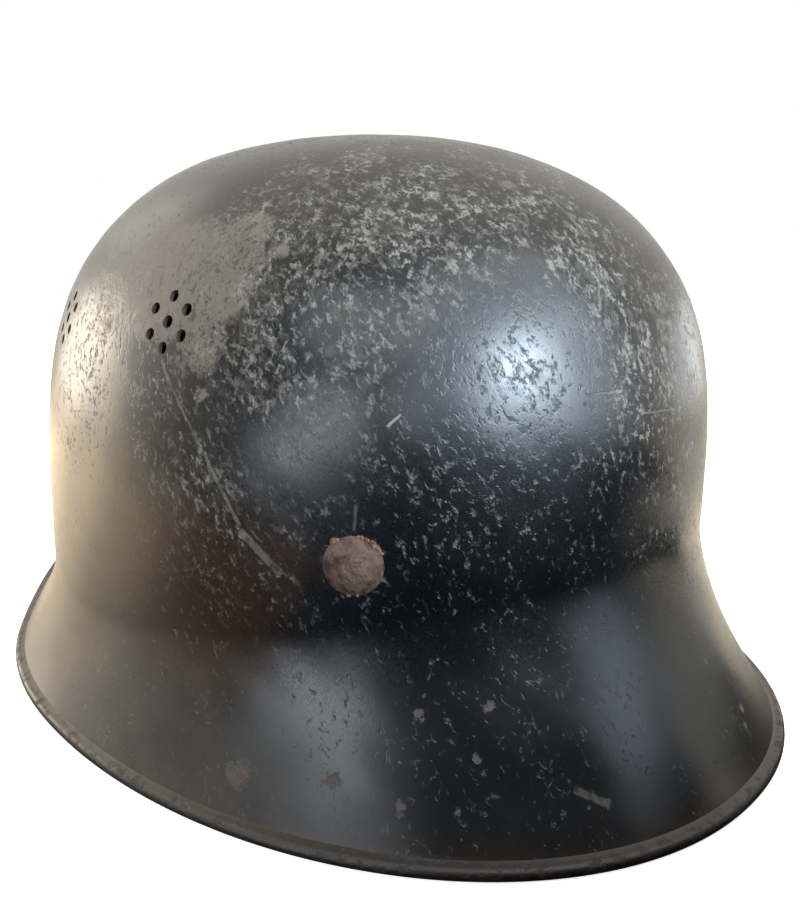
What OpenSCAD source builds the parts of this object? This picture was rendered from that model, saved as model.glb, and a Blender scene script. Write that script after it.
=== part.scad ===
// Steel service helmet with a leather liner on spring bands and an open chin strap.
// Millimetres. Front is -Y, the wearer's left is +X, up is +Z. The rim stands on z = 0.
// Angles round the helmet start at the front and turn towards the wearer's left.

/* [Shell] */
// Half width of the crown at the waist, outside
waist_side = 98; // [94:0.5:104]
// Reach of the waist forward of the oval's middle, outside
waist_front = 111; // [107:0.5:117]
// Reach of the waist behind the oval's middle, outside
waist_rear = 117; // [113:0.5:123]
// Half width at the rim, to the middle of the rolled edge
rim_side = 110; // [107:0.5:114]
// Reach of the visor, to the middle of the rolled edge
rim_front = 130; // [126:0.5:136]
// Reach of the neck guard, to the middle of the rolled edge
rim_rear = 145; // [140:0.5:150]
// Height of the waist above the ground at the front
waist_front_h = 45.5; // [42:0.5:49]
// Height of the waist above the ground at the sides
waist_side_h = 33; // [30:0.5:36]
// Height of the waist above the ground at the back
waist_rear_h = 57; // [53:0.5:60]
// Height of the crown above the ground, outside
crown_h = 165; // [160:0.5:172]
// Rise of the visor's edge above the rest of the rim
visor_rise = 19; // [10:0.5:24]
// Angle from the front at which the visor's edge has come down to the rim
visor_end = 53; // [48:1:60]
// Thickness of the steel
skin = 1.2; // [1:0.1:1.5]
// Radius of the rolled edge
roll_r = 1.6; // [1.5:0.1:2]

/* [Air holes] */
// Diameter of one hole
vent_d = 3; // [2.4:0.1:3.6]
// Radius of the ring of six holes round the middle one
vent_ring = 6.5; // [5:0.5:8]
// Angle of each group from the side, forward and back
vent_spread = 18.7; // [15:0.1:22]
// Climb of each group up the crown, as an angle of the dome's quarter turn
vent_climb = 36.4; // [30:0.1:42]

/* [Liner pins] */
// Angle of the pins from the front and from the back
pin_angle = 42.1; // [36:0.1:48]
// Height of the pins above the ground
pin_h = 61.5; // [60:0.5:65]
// Diameter of the domed heads
pin_head_d = 14; // [10:0.5:16]
// Height of the domed heads
pin_head_h = 2.4; // [1.6:0.1:3]
// Diameter of the split shank
pin_shank_d = 4.6; // [3.6:0.1:5]
// Length of each bent leg from the pin's axis
pin_leg = 11; // [8:0.5:13]

/* [Liner bands] */
// Gap between the shell and the outer band at the waist
band_gap = 1.4; // [1.2:0.1:2]
// Height of the outer band
band_w = 19; // [17:0.5:21]
// Thickness of the outer band
band_t = 0.9; // [0.7:0.1:1.1]
// Gap between the two bands
spring_gap = 8; // [7:0.5:9]
// Height of the inner band
inner_w = 20; // [19:0.5:21]
// Thickness of the inner band
inner_t = 0.7; // [0.5:0.1:0.9]
// Thickness of the bow springs
spring_t = 0.6; // [0.4:0.1:0.8]
// Height of the bow springs
spring_w = 12; // [8:0.5:13]

/* [Leather] */
// Thickness of the leather
leather_t = 1.6; // [1.2:0.1:2]
// Height of the sweatband's upper edge, where the fingers start
sweat_top = 75; // [73:0.5:80]
// Height of the finger tips
tip_h = 139; // [128:0.5:143]
// Distance of the finger tips from the helmet's middle
tip_r = 28; // [24:0.5:34]
// Width of a finger as a share of its place on the ring
finger_share = 0.82; // [0.6:0.01:0.9]
// Diameter of the lace
lace_d = 2.4; // [1.8:0.1:3]

/* [Chin strap] */
// Width of the strap
strap_w = 16; // [14:0.5:18]
// Thickness of one layer of strap leather
strap_t = 1.8; // [1.4:0.1:2]
// Height of the bale pivots above the ground
pivot_h = 41; // [40:0.5:43]
// Slope of the stowed strap below the horizontal
stow_slope = 14.5; // [13.5:0.5:16]
// Straight length of strap below each pivot
drop_len = 20; // [19.5:0.5:23]
// Radius of the bend over the cheek
cheek_r = 85; // [82:0.5:88]
// Turn of the bend over the cheek
cheek_turn = 41; // [39:0.5:43]
// Straight length of strap along the jaw
jaw_len = 38; // [37:0.5:40]
// Radius of the pivot pins
pivot_r = 2; // [1.6:0.1:2.2]
// Thickness of the bales and of their brackets
bale_t = 1.5; // [1.2:0.1:1.8]
// Radius of the bars that the strap folds round
bar_r = 1.1; // [0.9:0.1:1.3]
// Length of the buckle between its two bars
buckle_len = 14; // [13:0.5:15]
// Outer radius of the buckle's roller
roller_r = 2; // [1.8:0.1:2.3]
// Width of the keeper along the strap
keeper_w = 6; // [5:0.5:7]

/* [Hidden] */

paint = "#1d2329";
rust = "#5c4236";
zinc = "#9a9c98";
steel = "#6f7071";
tan = "#8a5a34";
dark_tan = "#5a3a22";
cord_white = "#b9ab8c";

// Shape of the dome and the skirt: oval power, shoulder power, shoulder swell, skirt lead
oval_n = 2.1;
shoulder_n = 0.64;
swell = 0.064;
lead = 0.36;
lead_soft = 0.1;
visor_blend = 42;
foot_cut = 0.9;
mid_y = (rim_front - rim_rear) / 2;

// Grids of the shell's loft
round_n = 80;
dome_n = 15;
skirt_n = 8;
roll_n = 8;

slip = 0.05;
seat = 0.1;
fine = 48;
rivet_r = 1;
rivet_head_r = 2.1;
rivet_head_h = 0.5;

// Liner sizes
pin_hole_r = pin_shank_d / 2 + 0.15;
band_inset = skin + band_gap;
band_in = band_inset + band_t;
inner_inset = band_in + spring_gap;
band_z = pin_h - band_w / 2;
spring_z = pin_h - spring_w / 2;
flap_h = 5.5;
inner_z = spring_z - 0.5 - flap_h;
washer_t = 0.8;
washer_gap = 0.3;
washer_r = 6;
leg_w = 4;
leg_t = 1;
leg_slit = 0.4;
spring_angles = [0, 66, -66, 114, -114, 180];
foot_turn = 8.5;
spring_turn = 11;
crown_turn = 3.2;

// Leather sizes
finger_n = 8;
cell_n = 6;
finger_rows = 8;
leather_gap = 0.6;
fold_r = inner_t / 2 + leather_gap + leather_t / 2;
leather_inset = inner_inset + inner_t / 2 + fold_r;
hole_at = 0.9;
lace_hole_r = lace_d / 2 + 1.6;
lace_swing = leather_t / 2 + lace_d / 2 + 0.45;
lace_soft = 0.02;

// Strap sizes, in the frame of a hanging strap with its pivot at the origin
side_in = waist_side - band_in;
bracket_w = 14;
bracket_x = side_in - pow(bracket_w / 2, 2) / (2 * side_in) - seat - bale_t / 2;
bale_x = bracket_x - bale_t - 0.3;
bracket_top = band_z + band_w - 1.5;
bale_w = strap_w + 6;
bale_eye_r = 5;
fold_in = bar_r + seat;
fold_out = fold_in + strap_t;
bar_drop = 11.6;
lap_len = 13;
taper_len = drop_len - bar_drop;
cheek_len = cheek_r * cheek_turn * PI / 180;
cheek_x = bale_x - cheek_r * (1 - cos(cheek_turn));
jaw_x = cheek_x - jaw_len * sin(cheek_turn);
jaw_end = drop_len + cheek_len + jaw_len;
chin_r = jaw_x / cos(cheek_turn);
buckle_at = jaw_end - buckle_len;
tip_gap = 9;
tip_end = jaw_end + chin_r * 2 * (90 - cheek_turn) * PI / 180 - tip_gap;
stud_at = drop_len + 5;
frame_w = strap_w + 4.4;
buckle_bar_r = 1.1;
roller_bar_r = 1.1;
tongue_w = 2.6;
tongue_t = 1.3;
slot_w = tongue_w + 1;
slot_reach = 7;
keeper_wall = 1.2;
keeper_gap = 0.3;
keeper_place = -16.5;
hole_n = 6;
hole_step = 12;
hole_first = 16;
tip_slant = 35;
tip_flat = 5;
hole_r = 1.6;

// Oval through three half lengths, as a radius at angle a
function oval(a, side, front, rear) =
  pow(pow(abs(sin(a)) / side, oval_n)
    + pow(abs(cos(a)) / (cos(a) > 0 ? front : rear), oval_n), -1 / oval_n);
function dir(a) = [sin(a), -cos(a), 0];
function at(a, r, z) = r * dir(a) + [0, mid_y, z];
function smooth(x) = let (c = min(max(x, 0), 1)) c * c * (3 - 2 * c);
function turn(a) = abs(a > 180 ? a - 360 : a);

// Waist and rim of the shell
function waist_r(a) = oval(a, waist_side, waist_front, waist_rear);
function waist_z(a) = waist_side_h - (waist_rear_h - waist_front_h) / 2 * cos(a)
  + ((waist_rear_h + waist_front_h) / 2 - waist_side_h) * pow(cos(a), 2);
function rim_r(a) = oval(a, rim_side, rim_front, rim_rear);
function rim_z(a) = foot_cut * roll_r + visor_rise * smooth((visor_end - turn(a)) / visor_blend);

// Outside of the shell as [radius, height]: the dome for climb t, the skirt for share u
function dome(a, t) = [
  waist_r(a) * pow(cos(t), shoulder_n) * (1 + swell * pow(sin(2 * t), 2)),
  waist_z(a) + (crown_h - waist_z(a)) * sin(t)
];
function eased(u) = sqrt(u * u + lead_soft * lead_soft) - lead_soft;
function skirt(a, u) = [
  waist_r(a) + (rim_r(a) - waist_r(a)) * (lead * eased(u) / eased(1) + (1 - lead) * u * u),
  waist_z(a) + (rim_z(a) - waist_z(a)) * u
];

// Direction out of the skin, from two near points of a section
function out_of(p, q) = let (d = q - p) [d[1], -d[0]] / norm(d);
function dome_out(a, t) = out_of(dome(a, max(t - 0.5, 0)), dome(a, t + 0.5));
function skirt_out(a, u) = out_of(skirt(a, min(u + 0.01, 1)), skirt(a, max(u - 0.01, 0)));
function climb(i) = 89.2 * pow(i / dome_n, 1.15);

// One section of the skin, from the crown down outside, round the rolled edge and up inside
function section(a) = concat(
  [for (i = [dome_n:-1:1]) dome(a, climb(i))],
  [for (i = [0:skirt_n - 1]) skirt(a, i / skirt_n)],
  let (o = skirt_out(a, 1), first = atan2(o[1], o[0]))
    [for (i = [0:roll_n])
      [rim_r(a), rim_z(a)] + roll_r * [cos(first - 8 - i * 236 / roll_n),
                                       max(sin(first - 8 - i * 236 / roll_n), -foot_cut)]],
  [for (i = [skirt_n - 1:-1:0])
    skirt(a, i / skirt_n * 0.96) - skin * skirt_out(a, i / skirt_n * 0.96)],
  [for (i = [1:dome_n]) dome(a, climb(i)) - skin * dome_out(a, climb(i))]
);

// Faces of a grid of n columns that closes round, with k rows
function tube_faces(n, k) = [
  for (i = [0:k - 2], j = [0:n - 1])
    let (a = i * n + j, b = i * n + (j + 1) % n) each [[a, b, b + n], [a, b + n, a + n]]
];
function fan(centre, first, n, flip) = [
  for (j = [0:n - 1]) flip ? [centre, first + (j + 1) % n, first + j]
                           : [centre, first + j, first + (j + 1) % n]
];

// Places a child on the shell's outside at angle a, with +X out of the skin
module on_dome(a, t) {
  p = dome(a, t);
  o = dome_out(a, t);
  translate(at(a, p[0], p[1]))
    rotate([0, 0, heading(a)])
      rotate([0, -atan2(o[1], o[0]), 0])
        children();
}

// Heading of the oval's outward normal in plan, from two near points of the waist
function heading(a) =
  let (d = at(a + 0.5, waist_r(a + 0.5), 0) - at(a - 0.5, waist_r(a - 0.5), 0))
    atan2(d[1], d[0]) - 90;

// Places a child on a band at angle a, inset from the waist, with +X out of the band
module on_band(a, inset, z) {
  translate(at(a, band_r(a, inset), z))
    rotate([0, 0, heading(a)])
      children();
}
function band_r(a, inset) = oval(a, waist_side - inset, waist_front - inset, waist_rear - inset);
function band_line(inset, angles) =
  [for (a = angles) let (p = at(a, band_r(a, inset), 0)) [p[0], p[1]]];

module band(inset, thick, z, width, angles) {
  translate([0, 0, z])
    linear_extrude(width)
      difference() {
        polygon(band_line(inset, angles));
        polygon(band_line(inset + thick, angles));
      }
}

// Cylinder along +X from x0 to x1
module rod(r, x0, x1, sides = fine) {
  translate([x0, 0, 0])
    rotate([0, 90, 0])
      cylinder(r = r, h = x1 - x0, $fn = sides);
}

// Pin axes: +X out of the shell, the origin on its outside; depth is the way in to the band
pin_angles = [pin_angle, -pin_angle, 180 - pin_angle, pin_angle - 180];
function pin_climb(a) = asin((pin_h - waist_z(a)) / (crown_h - waist_z(a)));
function pin_depth(a) = (dome(a, pin_climb(a))[0] - band_r(a, band_in)) * cos(heading(a) - a + 90);
module on_pin(a) {
  translate(at(a, dome(a, pin_climb(a))[0], pin_h))
    rotate([0, 0, heading(a)])
      children();
}

module shell() {
  rows = 2 * dome_n + 2 * skirt_n + roll_n + 1;
  sections = [for (j = [0:round_n - 1]) section(j * 360 / round_n)];
  grid = [for (i = [0:rows - 1], j = [0:round_n - 1])
    at(j * 360 / round_n, sections[j][i][0], sections[j][i][1])];
  poles = [[0, mid_y, crown_h], [0, mid_y, crown_h - skin]];
  color(paint)
    difference() {
      polyhedron(
        points = concat(grid, poles),
        faces = concat(tube_faces(round_n, rows),
                       fan(len(grid), 0, round_n, true),
                       fan(len(grid) + 1, (rows - 1) * round_n, round_n, false)),
        convexity = 6);
      for (side = [90, -90], spread = [-vent_spread, vent_spread])
        on_dome(side + spread, vent_climb)
          for (i = [0:6])
            rotate([i * 60, 0, 0])
              translate([0, 0, i == 6 ? 0 : vent_ring])
                rod(vent_d / 2, -skin - 3, 3, 24);
      for (a = pin_angles)
        on_pin(a)
          rod(pin_hole_r, -skin - 1, 1);
    }
}

// A split pin: domed head outside, split shank, and two legs bent flat inside
module pin(a) {
  inner = -pin_depth(a) - washer_gap - washer_t - leg_t;
  cap_r = (pow(pin_head_d / 2, 2) + pow(pin_head_h, 2)) / (2 * pin_head_h);
  color(rust)
    on_pin(a) {
      translate([seat, 0, 0])
        rotate([0, 90, 0])
          rotate_extrude($fn = fine)
            intersection() {
              translate([0, pin_head_h - cap_r])
                circle(r = cap_r, $fn = 4 * fine);
              square([pin_head_d / 2, pin_head_h + 1]);
            }
      difference() {
        rod(pin_shank_d / 2, inner, seat + 0.5);
        translate([inner - 1, -leg_slit / 2, -pin_shank_d])
          cube([1 - inner, leg_slit, 2 * pin_shank_d]);
      }
      for (s = [0, 1])
        mirror([0, s, 0])
          translate([inner, leg_slit / 2, -leg_w / 2])
            cube([leg_t - seat, pin_leg, leg_w]);
    }
}
module pin_front_left() { pin(pin_angle); }
module pin_front_right() { pin(-pin_angle); }
module pin_rear_left() { pin(180 - pin_angle); }
module pin_rear_right() { pin(pin_angle - 180); }

module pin_washers() {
  color(zinc)
    for (a = pin_angles)
      on_pin(a)
        translate([-pin_depth(a) - washer_gap, 0, 0])
          difference() {
            rod(washer_r, -washer_t, 0);
            rod(pin_hole_r, -2, 2);
          }
}

module outer_band() {
  color(zinc)
    difference() {
      band(band_inset, band_t, band_z, band_w, [0:3.75:359]);
      for (a = pin_angles)
        on_pin(a)
          translate([-pin_depth(a), 0, 0])
            rod(pin_hole_r, -2, 2);
      for (a = spring_angles, s = [-1, 1])
        on_band(a + s * foot_turn, band_in, pin_h)
          rod(rivet_r + slip, -3, 3);
      for (side = [-1, 1], z = bracket_rivet_z)
        translate([side > 0 ? side_in : -side_in, mid_y, z])
          rod(rivet_r + slip, -4, 4);
    }
}

module inner_band() {
  color(zinc)
    difference() {
      band(inner_inset, inner_t, inner_z, inner_w, leather_angles);
      for (a = spring_angles)
        on_band(a, inner_inset, pin_h)
          rod(rivet_r + slip, -3, 3);
    }
}

// A bow spring: two feet on the outer band and a crown on the inner band
function bow_inset(c) = band_in + seat + spring_t / 2 + (spring_gap - spring_t - 2 * seat)
  * smooth((foot_turn - 2 - abs(c)) / (foot_turn - 2 - crown_turn));
module spring(a) {
  steps = [for (c = [-spring_turn:0.5:spring_turn]) c];
  line = function (half) [for (c = steps)
    let (p = at(a + c, band_r(a + c, bow_inset(c) + half), 0)) [p[0], p[1]]];
  near = line(-spring_t / 2);
  far = line(spring_t / 2);
  color(steel)
    difference() {
      translate([0, 0, spring_z])
        linear_extrude(spring_w)
          polygon(concat(near, [for (i = [len(far) - 1:-1:0]) far[i]]));
      for (s = [-1, 1])
        on_band(a + s * foot_turn, band_in, pin_h)
          rod(rivet_r + slip, -2, 2);
      on_band(a, inner_inset, pin_h)
        rod(rivet_r + slip, -2, 2);
    }
}
module spring_front() { spring(spring_angles[0]); }
module spring_front_left() { spring(spring_angles[1]); }
module spring_front_right() { spring(spring_angles[2]); }
module spring_rear_left() { spring(spring_angles[3]); }
module spring_rear_right() { spring(spring_angles[4]); }
module spring_rear() { spring(spring_angles[5]); }

// A rivet through two sheets that lie between x0 and x1
module rivet(x0, x1, back_h = rivet_head_h) {
  rod(rivet_r, x0 - back_h / 2, x1 + rivet_head_h / 2);
  rod(rivet_head_r, x1, x1 + rivet_head_h);
  rod(rivet_head_r, x0 - back_h, x0);
}

module outer_spring_rivets() {
  color(steel)
    for (a = spring_angles, s = [-1, 1])
      on_band(a + s * foot_turn, band_in, pin_h)
        rivet(-spring_t - 2 * seat, band_t + seat);
}

module inner_spring_rivets() {
  color(steel)
    for (a = spring_angles)
      on_band(a, inner_inset, pin_h)
        rivet(-inner_t - 2 * seat, spring_t + 2 * seat, 0.3);
}

// Columns of the leather, in cells across each finger
base_half = 21.5;
function leather_angle(f, j) =
  f * 360 / finger_n + (j - cell_n / 2) / (cell_n / 2) * base_half;
leather_angles = [for (f = [0:finger_n - 1], j = [0:cell_n]) leather_angle(f, j)];

// Leather: rows from the flap's edge round the fold, up the sweatband and over the fingers
function ring_row(i) =
  i < 2 ? [inner_inset + inner_t / 2 - fold_r, inner_z + flap_h * (1 - i)]
  : i < 6 ? [inner_inset + inner_t / 2 - fold_r * cos((i - 1) * 36),
             inner_z - fold_r * sin((i - 1) * 36)]
  : [leather_inset, inner_z + (sweat_top - inner_z) * (i - 6) / 2];
ring_n = 9;
function ring_out(i) = i < 2 ? [1, 0] : i < 6 ? [cos((i - 1) * 36), -sin((i - 1) * 36)] : [-1, 0];
function ring_point(a, i, side) =
  at(a, band_r(a, ring_row(i)[0]) + side * leather_t / 2 * ring_out(i)[0],
     ring_row(i)[1] + side * leather_t / 2 * ring_out(i)[1]);

// A finger's section at angle a and share v, and its point for thickness side
function finger_turn(a) = acos(tip_r / band_r(a, leather_inset));
function finger_rz(a, v) =
  let (turn = finger_turn(a), base = band_r(a, leather_inset))
    [base * cos(v * turn), sweat_top + (tip_h - sweat_top) * sin(v * turn) / sin(turn)];
function finger_out(a, v) =
  v < 0.02 ? [1, 0] : out_of(finger_rz(a, v - 0.01), finger_rz(a, v + 0.01));
function finger_point(a, v, side) =
  let (p = finger_rz(a, v) - side * leather_t / 2 * finger_out(a, v)) at(a, p[0], p[1]);

function finger_half(v) =
  let (narrow = base_half * finger_share) narrow + (base_half - narrow) * pow(1 - min(v * 4, 1), 2);
function finger_end(x) = 1 - 0.1 * pow(abs(x), 3);

module leather_body() {
  cols = cell_n + 1;
  ring_cols = finger_n * cols;
  ring = [for (side = [1, -1], i = [0:ring_n - 1], f = [0:finger_n - 1], j = [0:cell_n])
    ring_point(leather_angle(f, j), i, side)];
  petals = [for (side = [1, -1], f = [0:finger_n - 1], k = [1:finger_rows], j = [0:cell_n])
    let (x = (j - cell_n / 2) / (cell_n / 2),
         v = k / finger_rows * finger_end(x),
         a = f * 360 / finger_n + x * finger_half(v))
      finger_point(a, v, side)];
  layer = ring_n * ring_cols;
  petal_layer = finger_n * finger_rows * cols;
  rid = function (s, i, c) s * layer + i * ring_cols + c % ring_cols;
  pid = function (s, f, k, j) k == 0 ? rid(s, ring_n - 1, f * cols + j)
    : 2 * layer + s * petal_layer + (f * finger_rows + k - 1) * cols + j;
  quad = function (a, b, c, d) [[a, c, b], [a, d, c]];
  faces = concat(
    [for (i = [0:ring_n - 2], c = [0:ring_cols - 1])
      each quad(rid(0, i, c), rid(0, i + 1, c), rid(0, i + 1, c + 1), rid(0, i, c + 1))],
    [for (i = [0:ring_n - 2], c = [0:ring_cols - 1])
      each quad(rid(1, i, c), rid(1, i, c + 1), rid(1, i + 1, c + 1), rid(1, i + 1, c))],
    [for (c = [0:ring_cols - 1])
      each quad(rid(0, 0, c), rid(0, 0, c + 1), rid(1, 0, c + 1), rid(1, 0, c))],
    [for (f = [0:finger_n - 1], c = f * cols + cell_n)
      each quad(rid(0, ring_n - 1, c), rid(1, ring_n - 1, c),
                rid(1, ring_n - 1, c + 1), rid(0, ring_n - 1, c + 1))],
    [for (f = [0:finger_n - 1], k = [0:finger_rows - 1], j = [0:cell_n - 1])
      each quad(pid(0, f, k, j), pid(0, f, k + 1, j), pid(0, f, k + 1, j + 1), pid(0, f, k, j + 1))],
    [for (f = [0:finger_n - 1], k = [0:finger_rows - 1], j = [0:cell_n - 1])
      each quad(pid(1, f, k, j), pid(1, f, k, j + 1), pid(1, f, k + 1, j + 1), pid(1, f, k + 1, j))],
    [for (f = [0:finger_n - 1], k = [0:finger_rows - 1])
      each quad(pid(0, f, k, 0), pid(1, f, k, 0), pid(1, f, k + 1, 0), pid(0, f, k + 1, 0))],
    [for (f = [0:finger_n - 1], k = [0:finger_rows - 1])
      each quad(pid(0, f, k, cell_n), pid(0, f, k + 1, cell_n),
                pid(1, f, k + 1, cell_n), pid(1, f, k, cell_n))],
    [for (f = [0:finger_n - 1], j = [0:cell_n - 1])
      each quad(pid(0, f, finger_rows, j), pid(1, f, finger_rows, j),
                pid(1, f, finger_rows, j + 1), pid(0, f, finger_rows, j + 1))]
  );
  polyhedron(points = concat(ring, petals), faces = faces, convexity = 8);
}

module leather_liner() {
  color(tan)
    difference() {
      leather_body();
      for (f = [0:finger_n - 1])
        let (a = f * 360 / finger_n, p = finger_rz(a, hole_at), o = finger_out(a, hole_at))
          translate(at(a, p[0], p[1]))
            rotate([0, 0, a - 90])
              rotate([0, -atan2(o[1], o[0]), 0])
                rod(lace_hole_r, -6, 6);
    }
}

// The lace goes down through one finger tip and up through the next
lace_rings = 12 * finger_n;
lace_sides = 8;
function lace_point(a) =
  let (s = sin(a * finger_n / 2), lift = lace_swing * s / sqrt(s * s + lace_soft),
       p = finger_rz(a, hole_at) + lift * finger_out(a, hole_at))
    at(a, p[0], p[1]);
module crown_lace() {
  rings = [for (i = [0:lace_rings - 1])
    let (a = i * 360 / lace_rings,
         ahead = lace_point(a + 0.5) - lace_point(a - 0.5),
         tangent = ahead / norm(ahead),
         across = cross(tangent, [0, 0, 1]) / norm(cross(tangent, [0, 0, 1])),
         over = cross(across, tangent))
      [for (k = [0:lace_sides - 1])
        lace_point(a) + lace_d / 2 * (cos(k * 360 / lace_sides) * across
                                      + sin(k * 360 / lace_sides) * over)]];
  n = lace_sides;
  m = lace_rings;
  color(cord_white)
    polyhedron(
      points = [for (r = rings, p = r) p],
      faces = [for (i = [0:m - 1], k = [0:n - 1])
        let (a = i * n + k, b = i * n + (k + 1) % n,
             c = (i + 1) % m * n + (k + 1) % n, d = (i + 1) % m * n + k)
          each [[a, b, c], [a, c, d]]],
      convexity = 4);
}

// Strap line: point and heading after a length, hanging, pivot at the origin, for the right of X
function on_arc(p, h, r, t) =
  [p[0] - r * (cos(h) - cos(h + t)), p[1] - r * (sin(h + t) - sin(h)), h + t];
function strap_line(l) =
  l <= drop_len ? [bale_x, -l, 0]
  : l <= drop_len + cheek_len
    ? on_arc([bale_x, -drop_len], 0, cheek_r, (l - drop_len) / cheek_len * cheek_turn)
  : l <= jaw_end
    ? let (s = l - drop_len - cheek_len, c = on_arc([bale_x, -drop_len], 0, cheek_r, cheek_turn))
        [c[0] - s * sin(cheek_turn), c[1] - s * cos(cheek_turn), cheek_turn]
  : let (b = strap_line(jaw_end)) on_arc(b, cheek_turn, chin_r, (l - jaw_end) / chin_r * 180 / PI);
function strap_point(l, e) =
  let (p = strap_line(l)) [p[0] + e * cos(p[2]), p[1] - e * sin(p[2])];
function lengths(l0, l1) =
  let (n = max(1, ceil((l1 - l0) / 5))) [for (i = [0:n]) l0 + (l1 - l0) * i / n];
function edge(l0, l1, e) = [for (l = lengths(l0, l1)) strap_point(l, e)];
function reversed(list) = [for (i = [len(list) - 1:-1:0]) list[i]];

// Outside of the fold round a bar at length l, closed on side s (1 at the bale, -1 at the buckle)
function fold_edge(l, s) =
  let (h = strap_line(l)[2], c = strap_point(l, 0))
    [for (t = [0:15:180])
      c + fold_out * (cos(t) * [cos(h), -sin(h)] + s * sin(t) * [sin(h), cos(h)])];

// Space inside a fold: the bar's bore and the wedge where the two layers close
module fold_space(l, s) {
  across(strap_w + 2)
    polygon([strap_point(l, fold_in), strap_point(l + s * (taper_len - 2), 0),
             strap_point(l, -fold_in)]);
  along(l)
    rotate([90, 0, 0])
      cylinder(r = fold_in, h = strap_w + 2, center = true, $fn = fine);
}

// Extrudes a strap outline, drawn in the X-Z plane, to a width across the strap
module across(width) {
  rotate([90, 0, 0])
    linear_extrude(width, center = true)
      children();
}

// Turns a hanging piece back into the shell, or mirrors it to the wearer's right
module stowed() {
  translate([0, mid_y, pivot_h])
    rotate([90 - stow_slope, 0, 0])
      children();
}
module right() { mirror([1, 0, 0]) children(); }

// Places a child at length l of the strap, with +X out of it and -Z along it
module along(l) {
  p = strap_line(l);
  translate([p[0], 0, p[1]])
    rotate([0, p[2], 0])
      children();
}

bracket_rivet_z = [band_z + 5, band_z + band_w - 5];

module bracket() {
  color(zinc)
    difference() {
      union() {
        translate([bracket_x - bale_t / 2, mid_y - bracket_w / 2, pivot_h])
          cube([bale_t, bracket_w, bracket_top - pivot_h]);
        translate([bracket_x, mid_y, pivot_h])
          rod(bracket_w / 2, -bale_t / 2, bale_t / 2);
      }
      translate([bracket_x, mid_y, pivot_h])
        rod(pivot_r + slip, -3, 3);
      for (z = bracket_rivet_z)
        translate([bracket_x, mid_y, z])
          rod(rivet_r + slip, -3, 3);
    }
}
module bracket_left() { bracket(); }
module bracket_right() { right() bracket(); }

module bracket_rivets() {
  color(steel)
    for (flip = [0, 1], z = bracket_rivet_z)
      mirror([flip, 0, 0])
        translate([0, mid_y, z])
          rivet(bracket_x - bale_t / 2 - 0.05, side_in + band_t + 0.05);
}

// Shouldered pin that carries a bale on its bracket
module pivot() {
  color(steel)
    translate([0, mid_y, pivot_h]) {
      rod(pivot_r, bale_x - bale_t / 2 - 0.5, bracket_x + bale_t / 2 + 0.5);
      rod(pivot_r + 1.6, bracket_x + bale_t / 2 + 0.05, bracket_x + bale_t / 2 + 0.9);
      rod(pivot_r + 1.8, bale_x - bale_t / 2 - 1.1, bale_x - bale_t / 2 - 0.1);
    }
}
module pivot_left() { pivot(); }
module pivot_right() { right() pivot(); }

// Bale: an eye, a plate that widens to the strap's width, and a bar under its window
module bale() {
  window = fold_out + 0.5;
  color(steel)
    stowed()
      translate([bale_x, 0, 0])
        difference() {
          union() {
            rotate([90, 0, 90])
              linear_extrude(bale_t, center = true)
                difference() {
                  union() {
                    circle(r = bale_eye_r, $fn = fine);
                    polygon([[-bale_eye_r, 0], [bale_eye_r, 0], [bale_w / 2, -bar_drop + window - 2],
                             [bale_w / 2, -bar_drop], [-bale_w / 2, -bar_drop],
                             [-bale_w / 2, -bar_drop + window - 2]]);
                  }
                  translate([-bale_w / 2 + 2, -bar_drop - 1])
                    square([bale_w - 4, window + 1]);
                }
            translate([0, bale_w / 2, -bar_drop])
              rotate([90, 0, 0])
                cylinder(r = bar_r, h = bale_w, $fn = fine);
          }
          rod(pivot_r + slip, -3, 3);
        }
}
module bale_left() { bale(); }
module bale_right() { right() bale(); }

module stud_hole() {
  along(stud_at)
    rod(1.5 + slip, -6, 6);
}

module strap_buckle_half() {
  lap = buckle_at - taper_len;
  outline = concat(
    fold_edge(bar_drop, 1),
    edge(drop_len, drop_len + lap_len, -strap_t),
    edge(drop_len + lap_len, lap - lap_len, 0),
    edge(lap - lap_len, lap, -strap_t),
    reversed(fold_edge(buckle_at, -1)),
    reversed(edge(drop_len, lap, strap_t)));
  color(dark_tan)
    stowed()
      difference() {
        across(strap_w)
          polygon(outline);
        fold_space(bar_drop, 1);
        fold_space(buckle_at, -1);
        stud_hole();
        along(buckle_at)
          translate([-8, -slot_w / 2, -5])
            cube([16, slot_w, 5 + slot_reach]);
      }
}

module strap_tip_half() {
  outline = concat(
    fold_edge(bar_drop, 1),
    edge(drop_len, drop_len + lap_len, -strap_t),
    edge(drop_len + lap_len, tip_end, 0),
    reversed(edge(drop_len, tip_end, strap_t)));
  color(dark_tan)
    right()
      stowed()
        difference() {
          across(strap_w)
            polygon(outline);
          fold_space(bar_drop, 1);
          stud_hole();
          for (i = [0:hole_n - 1])
            along(tip_end - hole_first - i * hole_step)
              rod(hole_r, -4, 6, 24);
          along(tip_end)
            for (s = [-1, 1])
              translate([0, s * tip_flat / 2, 0])
                rotate([-s * tip_slant, 0, 0])
                  translate([0, s * strap_w / 2, 0])
                    cube([20, strap_w, 60], center = true);
        }
}

module stud() {
  color(steel)
    stowed()
      along(stud_at) {
        rod(1.5, -strap_t - 0.5, strap_t + 0.5);
        rod(4, strap_t + 0.1, strap_t + 1);
        rod(3.2, -strap_t - 1, -strap_t - 0.1);
      }
}
module stud_left() { stud(); }
module stud_right() { right() stud(); }

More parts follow.
